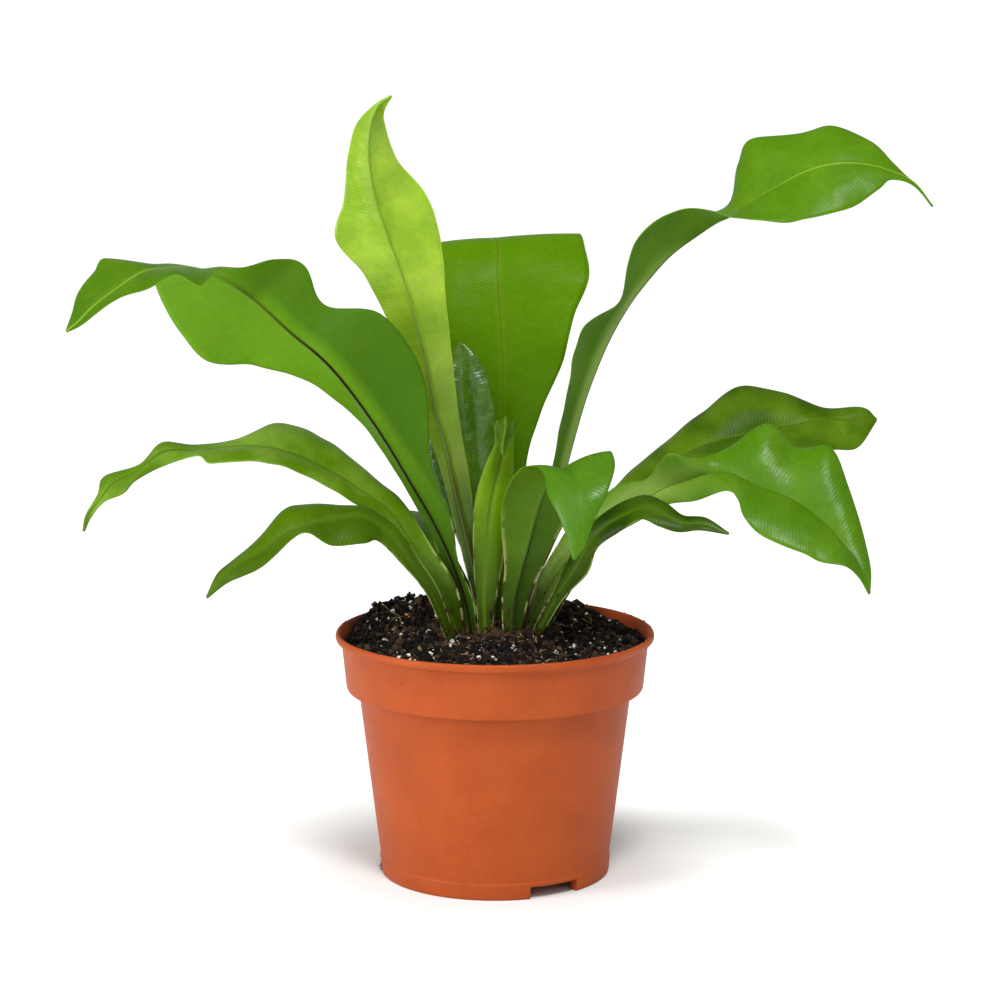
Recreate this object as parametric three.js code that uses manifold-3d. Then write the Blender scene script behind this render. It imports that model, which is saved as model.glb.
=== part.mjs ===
// Potted bird's nest fern: a rosette of strap fronds on a short rhizome,
// in a filled plastic nursery pot. Millimetres, +Z up.
// The camera side of the plant is -Y. Heights are measured from the surface it stands on.

import * as THREE from "three";
import { mergeVertices } from "three/addons/utils/BufferGeometryUtils.js";
import Module from "manifold-3d";

const wasm = await Module();
wasm.setup();

// Pot
const potHeight = 92.5;
const lipRadius = 60;
const lipHeight = 3.7;
const collarTopRadius = 57.8;
const collarFootRadius = 56;
const shoulderHeight = 71;
const bodyTopRadius = 51.5;
const footRadius = 43;
const footRingWidth = 2;
const wall = 1.2;
const floorUnderside = 3.5;
const floorTop = 5;
const potSides = 48;
const notch = { width: 20, height: 4.6, depth: 12, bearings: [-59, 177, 61] };
const drainHole = { radius: 3.2, circle: 24, count: 6, sides: 12 };

// Soil
const clearance = 0.3;
const soilRings = 10;
const soilSides = 40;
const soilEdgeHeight = 89;
const soilMound = { x: 0, y: 0, height: 6, spread: 26 };
const soilHeaps = [
  { x: -41, y: 27, height: 7, spread: 13 },
  { x: -20, y: 38, height: 8.5, spread: 15 },
  { x: 22, y: 36, height: 7.5, spread: 14 },
];
const soilRipple = 0.7;

// Rhizome, the short stem that carries the fronds
const crown = { x: 0.5, y: -1, halfWidth: 24, halfDepth: 15, top: 96, rim: 93, foot: 74, taper: 0.6 };
const crownSides = 28;
const crownRings = 6;

// Fronds
const bladeThickness = 0.6;
const ribBase = { depth: 2.2, halfWidth: 1.1 };
const ribTip = { depth: 0.4, halfWidth: 0.5 };
const ribFade = 1.3;
const tipHalfWidth = 0.5;
const rowsPerSpan = 2;

// Colours of the real materials
const terracotta = 0xb9603a;
const peat = 0x2a1f18;
const scaleBrown = 0x4a3322;
const green = 0x4c8c1e;
const lime = 0x9cc22c;
const paleGreen = 0x86ad3c;

// Each frond is three curves: its midrib and its two edges, through points chosen by hand.
// Left and right are as seen from the upper side of the blade with the tip up.
// The tip closes the edges, so they have one point fewer than the midrib.
const fronds = [
  {
    name: "frond_lime_upright", color: lime, cup: 0.08,
    midrib: [[-4, -1, 88], [-5, -1, 102], [-7.5, -1, 116], [-12, -1, 135], [-15.5, -1, 150.5],
      [-18, -1, 163], [-22, 0, 177], [-25, 0, 194], [-30, 0, 214], [-35, -1, 229], [-40, -2, 243],
      [-44, -3, 256], [-46, -5, 270], [-45, -8, 282], [-42, -11, 289], [-37.5, -14, 292.5]],
    left: [[-2.5, -1, 88], [-3.5, -1, 102], [-4.5, -1, 116], [-7.5, -1, 135.5], [-9.5, -1, 152],
      [-12, 0, 165], [-14, 1, 179], [-16, 2, 197], [-18, 3, 216], [-19, 3, 231], [-21, 4, 244],
      [-26, 4, 257], [-36, 2, 269], [-40, -4, 282], [-40, -9, 287]],
    right: [[-5.5, -1, 88], [-7.5, -1, 102], [-11, -1, 116], [-15.5, -1, 135], [-19.5, -1, 150.5],
      [-23, 0, 162], [-28, 1, 175], [-32, 2, 191], [-41, 3, 212], [-49, 3, 227], [-59, 3, 240],
      [-55.5, 3, 255], [-54, 0, 270], [-50.5, -6, 282], [-43.5, -10, 289.5]],
  },
  {
    name: "frond_left_high", color: green, cup: 0.06,
    midrib: [[-8, -9, 89], [-11, -10, 106], [-16, -12, 121], [-23, -14, 137], [-32.5, -16, 154],
      [-46, -19, 176], [-60, -21, 195], [-74, -23, 208], [-85, -27, 219], [-92, -32, 225],
      [-97, -37, 229], [-102, -44, 232], [-107, -50, 234], [-115, -54, 234], [-123, -59, 233],
      [-131, -64, 228], [-139, -69, 222], [-144, -72, 217], [-148, -74, 214]],
    left: [[-6, -9, 89], [-8, -9, 105.5], [-13.5, -10, 120.5], [-16, -12, 137.5], [-23.5, -14, 159],
      [-26, -12, 190], [-41, -12, 213], [-62, -14, 217], [-69, -20, 232], [-78.5, -30, 235],
      [-88, -48, 234], [-96, -62, 234], [-102, -67, 229], [-110, -67, 233], [-119.5, -69, 228.5],
      [-129.5, -71, 225.5], [-137, -73, 220.5], [-143, -74, 216]],
    right: [[-10.5, -9, 89], [-13, -9, 106], [-19.5, -11, 121], [-27, -12, 137.5], [-35.5, -12.5, 153],
      [-49.5, -13, 173.5], [-68.5, -13, 188.5], [-88, -14, 194.5], [-104.5, -17, 196.5],
      [-114, -21, 207], [-120, -25, 219], [-122, -30, 226], [-123, -36, 232], [-126, -43, 234],
      [-137, -50, 237], [-140.5, -56, 233], [-145, -63, 226.5], [-146.5, -69, 220]],
  },
  {
    name: "frond_left_arching", color: green, cup: 0.1,
    midrib: [[-13, -9, 91], [-20, -11, 110], [-28, -13, 123.5], [-38, -16, 139.5], [-47.5, -18, 147.5],
      [-60, -20, 156], [-74, -22, 163], [-86, -24, 166], [-98, -26, 166], [-109, -28, 165],
      [-120, -30, 165], [-130, -32, 158], [-138, -34, 154], [-143, -36, 148], [-147, -38, 143],
      [-148.5, -39, 137.5]],
    left: [[-14.5, -9, 91], [-22, -11, 110.5], [-31.5, -14, 126], [-41.5, -20, 139], [-52, -27, 146],
      [-65, -32, 155], [-78, -36, 161], [-88, -38, 163], [-102, -38, 162], [-107.5, -36, 164.5],
      [-121.5, -32, 159.5], [-130, -34, 155], [-134, -38, 151], [-141, -38, 148], [-146, -38, 142]],
    right: [[-11, -8, 91], [-14, -13, 111.5], [-22.5, -13.5, 125.5], [-32.5, -9, 141],
      [-41.5, -8, 149.5], [-56.5, -6, 161.5], [-69.5, -5, 169.5], [-82.5, -8, 172], [-94.5, -15, 167],
      [-109, -20, 166], [-121, -26, 168], [-129, -30, 160.5], [-142, -28, 156], [-144, -33, 150],
      [-148, -37, 143]],
  },
  {
    name: "frond_left_low", color: green, cup: 0.1,
    midrib: [[-16.5, -12.5, 91], [-23.5, -19, 110], [-31.5, -25, 122.5], [-39, -31, 135],
      [-48.5, -35, 142], [-58, -39, 142], [-67, -42, 140], [-76, -44, 137], [-84, -47, 132],
      [-92, -50, 128], [-98, -52, 123], [-103, -54, 116]],
    left: [[-18, -13, 91], [-25, -21, 110], [-33, -28, 122], [-42, -36, 133], [-47, -44, 134],
      [-58.5, -49, 134], [-67, -50, 139], [-72.5, -51, 136.5], [-82, -54, 128], [-90, -55, 124],
      [-96, -54, 121]],
    right: [[-14.5, -12, 91], [-20.5, -17, 110.5], [-28, -22, 124], [-35.5, -26, 136],
      [-45.5, -29, 144], [-57, -30, 145.5], [-69, -30, 146], [-77, -34, 144], [-85, -39, 135.5],
      [-94.5, -44, 127.5], [-99.5, -50, 124]],
  },
  {
    name: "frond_back_tall", color: green, cup: 0.02,
    midrib: [[2, 5, 88], [2.5, 6.5, 106.5], [3.5, 9, 123.5], [4, 12, 140.5], [4, 15, 157], [3, 18, 174],
      [3, 21, 191], [2, 25, 207], [1, 30, 222], [1, 38, 233], [0, 48, 236], [0, 64, 233], [0, 82, 224],
      [1, 96, 211], [2, 106, 196]],
    left: [[0, 5, 88], [-0.5, 5.5, 107], [-2.5, 7.5, 124], [-6.5, 9.5, 141], [-11, 13, 157.5],
      [-16, 16, 174], [-21, 20, 191], [-25, 24, 207], [-27, 30, 220], [-26, 39, 231], [-23.5, 50, 234],
      [-20, 66, 229], [-16, 83, 221], [-10, 97, 210]],
    right: [[4, 5, 88], [6, 5.5, 107], [8.5, 7.5, 124], [11, 9, 141], [12.5, 11.5, 158], [18, 14, 175],
      [25.5, 17, 192], [30, 21, 209.5], [35.5, 26, 222.5], [34.5, 35, 232.5], [32, 47, 237.5],
      [23.5, 64, 231], [17, 82, 221.5], [11, 96, 211]],
  },
  {
    name: "frond_back_inner", color: green, cup: 0.12,
    midrib: [[-2, 1, 89], [-3.5, 1.5, 107.5], [-5, 3, 124.5], [-7, 4, 141], [-9, 6, 158], [-11, 8, 173],
      [-12, 10, 186], [-12, 12, 194], [-13, 13, 200]],
    left: [[-3.5, 1, 89], [-6, 1.5, 107.5], [-13.5, 2.5, 125], [-20, 3.5, 142], [-25, 5.5, 159],
      [-24.5, 8, 173], [-21, 10, 184], [-18, 12, 193]],
    right: [[-0.5, 1, 89], [-0.5, 1.5, 107.5], [-1, 2, 124.5], [-0.5, 3, 141.5], [0, 4, 160],
      [0, 6, 173], [-2, 8.5, 185], [-7, 11, 195]],
  },
  {
    name: "frond_young_centre", color: paleGreen, cup: 0.14,
    midrib: [[-3.5, -10, 89], [-4, -10.5, 106], [-3.5, -10, 120.5], [-2.5, -9, 136.5],
      [-0.5, -8, 148.5], [2, -7, 158], [3, -7, 166], [4, -9, 172], [4, -13, 175], [4, -17, 172],
      [3, -18, 166], [3, -18, 162]],
    left: [[-6, -10, 89], [-7, -10, 106], [-8, -9, 120.5], [-8, -8, 136], [-6.5, -8, 147.5],
      [-3, -8, 158], [0, -8, 165], [0, -10, 172], [1, -13, 174], [0, -16, 171], [1, -17, 166]],
    right: [[-1.5, -10, 89], [0.5, -10, 106], [3, -9, 121], [5, -7, 135], [6.5, -6, 146.5],
      [7, -5, 155], [7, -7, 165], [8, -9, 171], [7, -13, 174], [7, -16, 171], [6, -17, 166]],
  },
  {
    name: "frond_front_folded", color: green, cup: 0.07,
    midrib: [[6, -9, 89], [7, -12, 106.5], [10, -15, 119.5], [13.5, -19, 133], [16.5, -24, 145.5],
      [20, -30, 155], [24, -38, 159.5], [28, -48, 159.5], [30, -57, 155], [30, -62, 146],
      [29, -64, 138], [28, -65, 132]],
    left: [[9, -9, 89], [13, -11, 107.5], [19, -14, 121.5], [24.5, -17, 134], [29.5, -22, 144],
      [35, -28, 154], [40.5, -37, 166.5], [43, -48, 163.5], [40, -58, 155], [35, -62, 145],
      [32, -64, 137]],
    right: [[3, -9, 89], [2.5, -11, 106.5], [3.5, -14, 118.5], [2.5, -18, 133], [2.5, -23, 144.5],
      [6, -29, 155], [11.5, -35, 160.5], [17, -44, 160.5], [19, -53, 153], [23, -60, 146],
      [26, -63, 138]],
  },
  {
    name: "frond_right_tall", color: green, cup: 0.05,
    midrib: [[9, 3, 88.5], [12.5, 5, 107], [17.5, 7, 124], [23.5, 9, 146.5], [29, 11, 167],
      [34, 12, 183], [41, 13, 200], [49, 15, 214], [57.5, 16, 225], [65.5, 16, 233.5], [75, 16, 240.5],
      [82.5, 15, 245.5], [88, 14, 248], [96, 12, 253], [104, 10, 258], [115, 7, 264], [125, 5, 267],
      [135, 4, 267], [144, 3, 265], [154, 2, 260.5], [161, 1, 252]],
    left: [[7.5, 4, 88.5], [11, 9, 107], [16, 14, 123.5], [21, 17, 147], [26.5, 22, 168.5],
      [31, 24, 185], [38.5, 25, 203], [48.5, 24, 216.5], [53.5, 26, 229], [62.5, 27, 238.5],
      [73, 27, 246], [82, 27, 247.5], [88.5, 26, 252], [91.5, 27, 265.5], [95.5, 25, 275],
      [113, 22, 277], [125, 19, 280.5], [139, 12, 275], [147, 7, 267.5], [152.5, 3, 261.5]],
    right: [[10.5, 2, 88.5], [13, 1, 107.5], [16.5, 0, 124], [20, 0, 147], [24.5, -1, 171],
      [28, -4, 190], [32.5, -4, 207.5], [46, 8, 215.5], [49.5, 4, 231], [55, 3, 243], [68, 5, 250],
      [80, 4, 250], [87, -2, 248], [96, -4, 247], [106, -6, 246.5], [118, -7, 248.5], [130.5, -6, 252],
      [140.5, -3, 258], [145.5, 0, 261.5], [153.5, 1, 259.5]],
  },
  {
    name: "frond_right_back", color: green, cup: 0.1,
    midrib: [[13.5, 6, 90.5], [21, 11, 107], [30.5, 14, 121.5], [43, 19, 134.5], [55.5, 23, 145.5],
      [69, 27, 153], [83, 30, 159], [98, 33, 162], [113, 35, 165], [127, 36, 167], [138, 37, 167],
      [147, 38, 167]],
    left: [[12.5, 8, 90.5], [20.5, 14, 107], [30, 21, 122], [40.5, 28, 136.5], [50.5, 34, 146],
      [65.5, 40, 158], [81, 45, 169.5], [94, 47, 178.5], [112, 46, 176.5], [126.5, 44, 171],
      [141.5, 41, 171.5]],
    right: [[14.5, 4.5, 90.5], [22.5, 8, 106], [32, 11, 119.5], [43.5, 13, 132.5], [59.5, 14, 142],
      [73, 15, 148], [86, 15, 153], [101, 18, 154], [115, 22, 155], [128, 27, 157], [139, 32, 157]],
  },
  {
    name: "frond_right_broad", color: paleGreen, cup: 0.08,
    midrib: [[11, -4, 89], [18.5, -5, 107], [27.5, -7, 120.5], [38, -10, 132.5], [51.5, -14, 141.5],
      [61, -19, 149], [69, -22, 153], [77, -26, 156], [86, -30, 157], [95, -34, 153], [105, -38, 150],
      [114, -43, 145], [122, -49, 138], [128, -55, 131], [131, -59, 125], [133, -62, 119]],
    left: [[10, -3, 89.5], [14.5, -2, 108.5], [21.5, -2, 122.5], [30.5, -3, 135.5], [45, -7, 148.5],
      [56, -16, 153], [63, -27, 164], [73, -27, 162], [85, -20, 165], [100, -20, 174], [110, -24, 166],
      [122, -30, 166.5], [127.5, -38, 154], [132, -47, 138.5], [134, -56, 127.5]],
    right: [[12.5, -5, 89.5], [20.5, -8, 106], [30, -12, 118.5], [40.5, -16, 129.5], [54.5, -21, 139],
      [63, -26, 145], [73, -32, 147.5], [84, -38, 152], [87.5, -42, 149.5], [89.5, -48, 143.5],
      [96.5, -54, 138], [109, -58, 133], [117, -60, 130], [124, -62, 129], [129, -61, 125]],
  },
  {
    name: "frond_right_low", color: green, cup: 0.1,
    midrib: [[14.5, -9.5, 90], [23, -16, 108.5], [30, -22, 121], [35.5, -27, 132], [43.5, -31, 140],
      [54, -35, 145], [60, -39, 144], [68, -42, 141], [75, -44, 141], [84, -47, 138]],
    left: [[13.5, -8.5, 90], [21.5, -14, 109.5], [27.5, -19, 124], [34, -23, 136], [43, -26, 144],
      [54, -29, 149], [62, -33, 147], [68, -37, 143], [76, -42, 143]],
    right: [[16, -10.5, 90], [25, -18, 107.5], [34, -25, 119], [37.5, -30, 129.5], [44.5, -35, 136],
      [52.5, -40, 142], [59, -43, 140], [66, -44, 138], [74, -46, 139]],
  },
  {
    name: "frond_right_tucked", color: green, cup: 0.1,
    midrib: [[17.5, 0, 90], [23.5, 1, 103], [29, 1, 110.5], [34, 1, 118], [38, 0, 124.5], [41, -1, 130],
      [44, -2, 135]],
    left: [[16, 1.5, 90], [22, 3.5, 103.5], [27.5, 4, 111.5], [31.5, 4, 119], [35.5, 2, 126],
      [40, 0, 132]],
    right: [[19, -1.5, 90], [25.5, -1.5, 102.5], [30.5, -2.5, 111], [35.5, -3, 117.5], [38, -3, 125],
      [42, -3, 131]],
  },
  {
    name: "frond_back_left_low", color: green, cup: 0.1,
    midrib: [[-4, 6, 88.5], [-11.5, 10, 106], [-19, 16, 118], [-26, 25, 126.5], [-32, 37, 129],
      [-37, 52, 128], [-41, 68, 123], [-44, 82, 117], [-45, 92, 111]],
    left: [[-5.5, 5, 88.5], [-13.5, 9, 105.5], [-21.5, 13, 117], [-31, 20, 125.5], [-38, 32, 129],
      [-43, 47, 128], [-46, 64, 123], [-47, 80, 116]],
    right: [[-2.5, 7, 88.5], [-9, 12, 106.5], [-16, 20, 118.5], [-21, 32, 126], [-26, 44, 128.5],
      [-31, 58, 127], [-36, 73, 123], [-40, 85, 117]],
  },
  {
    name: "frond_back_low", color: green, cup: 0.1,
    midrib: [[5, 9, 87.5], [6, 14, 107], [7, 24, 120.5], [7.5, 38, 131], [8, 56, 136.5], [8, 76, 136],
      [8, 96, 130], [7, 114, 118]],
    left: [[3.5, 9, 87.5], [2.5, 14, 107], [1, 23, 120.5], [-0.5, 36, 130.5], [-1, 54, 135.5],
      [0, 75, 135], [1, 95, 129]],
    right: [[6.5, 9, 87.5], [9.5, 14, 107], [12, 23, 121], [14.5, 36, 131.5], [16.5, 54, 137],
      [16, 75, 137], [14, 95, 130]],
  },
];

// A closed solid from a geometry, and a geometry from a solid
function solidFrom(geometry) {
  const plain = geometry.index ? geometry.clone() : geometry;
  plain.deleteAttribute("normal");
  plain.deleteAttribute("uv");
  const merged = mergeVertices(plain, 1e-4);
  const corners = merged.index.array;
  const kept = [];
  for (let i = 0; i < corners.length; i += 3) {
    const [a, b, c] = [corners[i], corners[i + 1], corners[i + 2]];
    if (a !== b && b !== c && c !== a) kept.push(a, b, c);
  }
  return new wasm.Manifold(new wasm.Mesh({
    numProp: 3,
    vertProperties: new Float32Array(merged.attributes.position.array),
    triVerts: new Uint32Array(kept),
  }));
}

function geometryFrom(solid) {
  const mesh = solid.getMesh();
  const geometry = new THREE.BufferGeometry();
  geometry.setAttribute("position", new THREE.BufferAttribute(mesh.vertProperties, 3));
  geometry.setIndex(new THREE.BufferAttribute(mesh.triVerts, 1));
  return geometry;
}

function indexedGeometry(points, triangles) {
  const geometry = new THREE.BufferGeometry();
  geometry.setAttribute("position", new THREE.Float32BufferAttribute(points, 3));
  geometry.setIndex(triangles);
  return geometry;
}

// Only the largest body of a cut is kept
function largestBody(solid) {
  const bodies = solid.decompose();
  return bodies.reduce((best, body) => (body.volume() > best.volume() ? body : best));
}

// Pot: one turned wall with a foot ring, a raised floor, a shoulder, a collar and a rolled lip
function potSolid() {
  const lipFoot = potHeight - lipHeight;
  const profile = [
    [0, floorUnderside], [footRadius - footRingWidth - 1, floorUnderside],
    [footRadius - footRingWidth, 0], [footRadius, 0], [footRadius + 0.4, 0.6],
    [footRadius + 0.8, 6], [footRadius + 0.5, 6.5],
    [bodyTopRadius, shoulderHeight], [collarFootRadius - 0.4, shoulderHeight],
    [collarFootRadius, shoulderHeight + 0.6], [collarTopRadius, lipFoot],
    [lipRadius - 0.4, lipFoot + 0.8],
    [lipRadius, lipFoot + 1.6], [lipRadius, potHeight - 0.9], [lipRadius - 0.5, potHeight],
    [lipRadius - 1.4, potHeight], [lipRadius - 2, potHeight - 1], [collarTopRadius - wall, lipFoot - 0.8],
    [collarFootRadius - wall - 0.3, shoulderHeight + wall], [bodyTopRadius - wall, shoulderHeight + wall],
    [footRadius - 0.5, floorTop + 1.5], [footRadius - 1.5, floorTop], [0, floorTop],
  ].map(([radius, height]) => new THREE.Vector2(radius, height));
  let pot = solidFrom(new THREE.LatheGeometry(profile, potSides).rotateX(Math.PI / 2));

  for (const bearing of notch.bearings) {
    const turn = THREE.MathUtils.degToRad(bearing);
    const cutter = new THREE.BoxGeometry(notch.depth, notch.width, 2 * notch.height)
      .translate(footRadius, 0, 0)
      .rotateZ(turn);
    pot = pot.subtract(solidFrom(cutter));
  }
  for (let i = 0; i < drainHole.count; i++) {
    const turn = (i * 2 * Math.PI) / drainHole.count;
    const { radius, sides } = drainHole;
    const cutter = new THREE.CylinderGeometry(radius, radius, 2 * floorTop, sides)
      .rotateX(Math.PI / 2)
      .translate(drainHole.circle * Math.cos(turn), drainHole.circle * Math.sin(turn), floorTop);
    pot = pot.subtract(solidFrom(cutter));
  }
  return pot;
}

// Height of the soil: a mound round the plant, heaps behind it and small ripples
function soilHeight(x, y) {
  let height = soilEdgeHeight;
  for (const rise of [soilMound, ...soilHeaps]) {
    const away = Math.hypot(x - rise.x, y - rise.y) / rise.spread;
    height += rise.height * Math.exp(-away * away);
  }
  const ripple = Math.sin(0.55 * x + 1.2) * Math.cos(0.5 * y) + 0.6 * Math.sin(0.9 * x + 0.7 * y);
  return height + soilRipple * ripple;
}

// Soil: a relief on rings and spokes over the inner shape of the pot, lifted to cut the fronds clear
function soilSolid(lift = 0) {
  const side = [
    [collarTopRadius - wall - 0.4, soilEdgeHeight],
    [collarFootRadius - wall - 0.3 - clearance, shoulderHeight + wall + clearance],
    [bodyTopRadius - wall - clearance, shoulderHeight + wall + clearance],
    [footRadius - 0.5 - clearance, floorTop + 1.5],
    [footRadius - 1.5 - clearance, floorTop + clearance],
  ];
  const edgeRadius = side[0][0];
  const points = [0, 0, soilHeight(0, 0) + lift];
  const ringRadii = Array.from({ length: soilRings }, (_, i) => (edgeRadius * (i + 1)) / soilRings);
  for (const radius of ringRadii) {
    for (let k = 0; k < soilSides; k++) {
      const turn = (k * 2 * Math.PI) / soilSides;
      const [x, y] = [radius * Math.cos(turn), radius * Math.sin(turn)];
      points.push(x, y, soilHeight(x, y) + lift);
    }
  }
  for (const [radius, height] of side.slice(1)) {
    for (let k = 0; k < soilSides; k++) {
      const turn = (k * 2 * Math.PI) / soilSides;
      points.push(radius * Math.cos(turn), radius * Math.sin(turn), height);
    }
  }
  const rings = soilRings + side.length - 1;
  const lastPoint = points.length / 3;
  points.push(0, 0, side[side.length - 1][1]);
  const at = (ring, k) => 1 + ring * soilSides + (k % soilSides);
  const triangles = [];
  for (let k = 0; k < soilSides; k++) {
    triangles.push(0, at(0, k), at(0, k + 1));
    for (let ring = 0; ring < rings - 1; ring++) {
      triangles.push(at(ring, k), at(ring + 1, k), at(ring + 1, k + 1));
      triangles.push(at(ring, k), at(ring + 1, k + 1), at(ring, k + 1));
    }
    triangles.push(at(rings - 1, k), lastPoint, at(rings - 1, k + 1));
  }
  return solidFrom(indexedGeometry(points, triangles));
}

// Rhizome: an oval dome on a tapering foot. Grown it cuts the fronds clear, and with its top
// raised as well it cuts a plain hole in the soil
function crownSolid(grow = 0, raise = 0) {
  const halfWidth = crown.halfWidth + grow;
  const halfDepth = crown.halfDepth + grow;
  const top = crown.top + grow + raise;
  const points = [crown.x, crown.y, top];
  const addRing = (scale, height) => {
    for (let k = 0; k < crownSides; k++) {
      const turn = (k * 2 * Math.PI) / crownSides;
      points.push(
        crown.x + halfWidth * scale * Math.cos(turn),
        crown.y + halfDepth * scale * Math.sin(turn),
        height,
      );
    }
  };
  for (let ring = 1; ring <= crownRings; ring++) {
    const scale = ring / crownRings;
    addRing(scale, top - (crown.top - crown.rim) * scale * scale);
  }
  addRing(1, crown.rim + grow);
  addRing(crown.taper, crown.foot - grow);
  const lastPoint = points.length / 3;
  points.push(crown.x, crown.y, crown.foot - grow);
  const rings = crownRings + 2;
  const at = (ring, k) => 1 + ring * crownSides + (k % crownSides);
  const triangles = [];
  for (let k = 0; k < crownSides; k++) {
    triangles.push(0, at(0, k), at(0, k + 1));
    for (let ring = 0; ring < rings - 1; ring++) {
      triangles.push(at(ring, k), at(ring + 1, k), at(ring + 1, k + 1));
      triangles.push(at(ring, k), at(ring + 1, k + 1), at(ring, k + 1));
    }
    triangles.push(at(rings - 1, k), lastPoint, at(rings - 1, k + 1));
  }
  return solidFrom(indexedGeometry(points, triangles));
}

function smoothRail(points) {
  return new THREE.CatmullRomCurve3(points.map((p) => new THREE.Vector3(...p)), false, "catmullrom", 0.5);
}

// The three curves of a frond, with its edges closed across the tip
function frondRails({ midrib, left, right }) {
  const tip = new THREE.Vector3(...midrib.at(-1));
  const across = new THREE.Vector3(...right.at(-1)).sub(new THREE.Vector3(...left.at(-1)));
  across.setLength(tipHalfWidth);
  const closed = (edge, side) => [...edge, tip.clone().addScaledVector(across, side).toArray()];
  return [smoothRail(midrib), smoothRail(closed(left, -1)), smoothRail(closed(right, 1))];
}

// Frond: a cupped sheet between its three curves, as thick as the blade, with a rib below the midrib
function frondSolid(frond) {
  const rails = frondRails(frond);
  const rows = (frond.midrib.length - 1) * rowsPerSpan + 1;
  const sheet = [];
  const ribDepths = [];
  for (let i = 0; i < rows; i++) {
    const t = i / (rows - 1);
    const [mid, left, right] = rails.map((rail) => rail.getPoint(t));
    const along = rails[0].getTangent(t);
    const fade = (1 - t) ** ribFade;
    const ribHalfWidth = ribTip.halfWidth + (ribBase.halfWidth - ribTip.halfWidth) * fade;
    ribDepths.push(ribTip.depth + (ribBase.depth - ribTip.depth) * fade);
    const row = [];
    for (const side of [-1, 1]) {
      const half = (side < 0 ? left : right).clone().sub(mid);
      const width = half.length();
      const up = half.clone().multiplyScalar(side).cross(along).normalize();
      const rib = Math.min(ribHalfWidth / width, 0.5);
      const place = (s) => mid.clone()
        .addScaledVector(half, s)
        .addScaledVector(up, frond.cup * width * 4 * s * (1 - s));
      const stations = [rib, (1 + rib) / 2, 1].map(place);
      if (side < 0) row.push(...stations.reverse(), mid);
      else row.push(...stations);
    }
    sheet.push(row);
  }

  const columns = sheet[0].length;
  const middle = (columns - 1) / 2;
  const clamp = (value, last) => Math.min(Math.max(value, 0), last);
  const normalAt = (i, j) => {
    const down = sheet[clamp(i + 1, rows - 1)][j].clone().sub(sheet[clamp(i - 1, rows - 1)][j]);
    const across = sheet[i][clamp(j + 1, columns - 1)].clone().sub(sheet[i][clamp(j - 1, columns - 1)]);
    return across.cross(down).normalize();
  };
  const points = [];
  for (const upper of [true, false]) {
    for (let i = 0; i < rows; i++) {
      for (let j = 0; j < columns; j++) {
        const depth = bladeThickness / 2 + (!upper && j === middle ? ribDepths[i] : 0);
        const point = sheet[i][j].clone().addScaledVector(normalAt(i, j), upper ? depth : -depth);
        points.push(...point.toArray());
      }
    }
  }

  const top = (i, j) => i * columns + j;
  const under = (i, j) => rows * columns + top(i, j);
  const triangles = [];
  const addQuad = (a, b, c, d) => triangles.push(a, b, c, a, c, d);
  for (let i = 0; i < rows - 1; i++) {
    for (let j = 0; j < columns - 1; j++) {
      triangles.push(top(i, j), top(i, j + 1), top(i + 1, j));
      triangles.push(top(i, j + 1), top(i + 1, j + 1), top(i + 1, j));
      triangles.push(under(i, j), under(i + 1, j), under(i, j + 1));
      triangles.push(under(i, j + 1), under(i + 1, j), under(i + 1, j + 1));
    }
    addQuad(top(i, 0), top(i + 1, 0), under(i + 1, 0), under(i, 0));
    const last = columns - 1;
    addQuad(top(i, last), under(i, last), under(i + 1, last), top(i + 1, last));
  }
  for (let j = 0; j < columns - 1; j++) {
    addQuad(top(0, j), under(0, j), under(0, j + 1), top(0, j + 1));
    addQuad(top(rows - 1, j), top(rows - 1, j + 1), under(rows - 1, j + 1), under(rows - 1, j));
  }
  return solidFrom(indexedGeometry(points, triangles));
}

// The plant in its pot
const plant = new THREE.Group();

function addPiece(name, solid, color, roughness) {
  const material = new THREE.MeshStandardMaterial({ color, roughness, metalness: 0, flatShading: true });
  const piece = new THREE.Mesh(geometryFrom(solid), material);
  piece.name = name;
  plant.add(piece);
}

const crownCutter = crownSolid(clearance);
const crownHole = crownSolid(clearance, soilMound.height);
const soilCutter = soilSolid(clearance).subtract(crownHole);
addPiece("pot", potSolid(), terracotta, 0.6);
addPiece("soil", soilSolid().subtract(crownHole), peat, 0.95);
addPiece("crown", crownSolid(), scaleBrown, 0.9);
for (const frond of fronds) {
  const solid = frondSolid(frond).subtract(crownCutter).subtract(soilCutter);
  addPiece(frond.name, largestBody(solid), frond.color, 0.4);
}

// The origin is the middle of the whole plant's box, on the surface it stands on
const box = new THREE.Box3().setFromObject(plant);
const middle = box.getCenter(new THREE.Vector3());
plant.position.set(-middle.x, -middle.y, 0);

export default plant;
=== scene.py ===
# A potted bird's nest fern: a rosette of strap fronds on a short scaly rhizome, in a plastic nursery pot.
# Shapes are worked out in mm about the pot's axis, with the camera side at -Y, and are turned to metres in
# the frame's own place when they become meshes

import math

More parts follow.
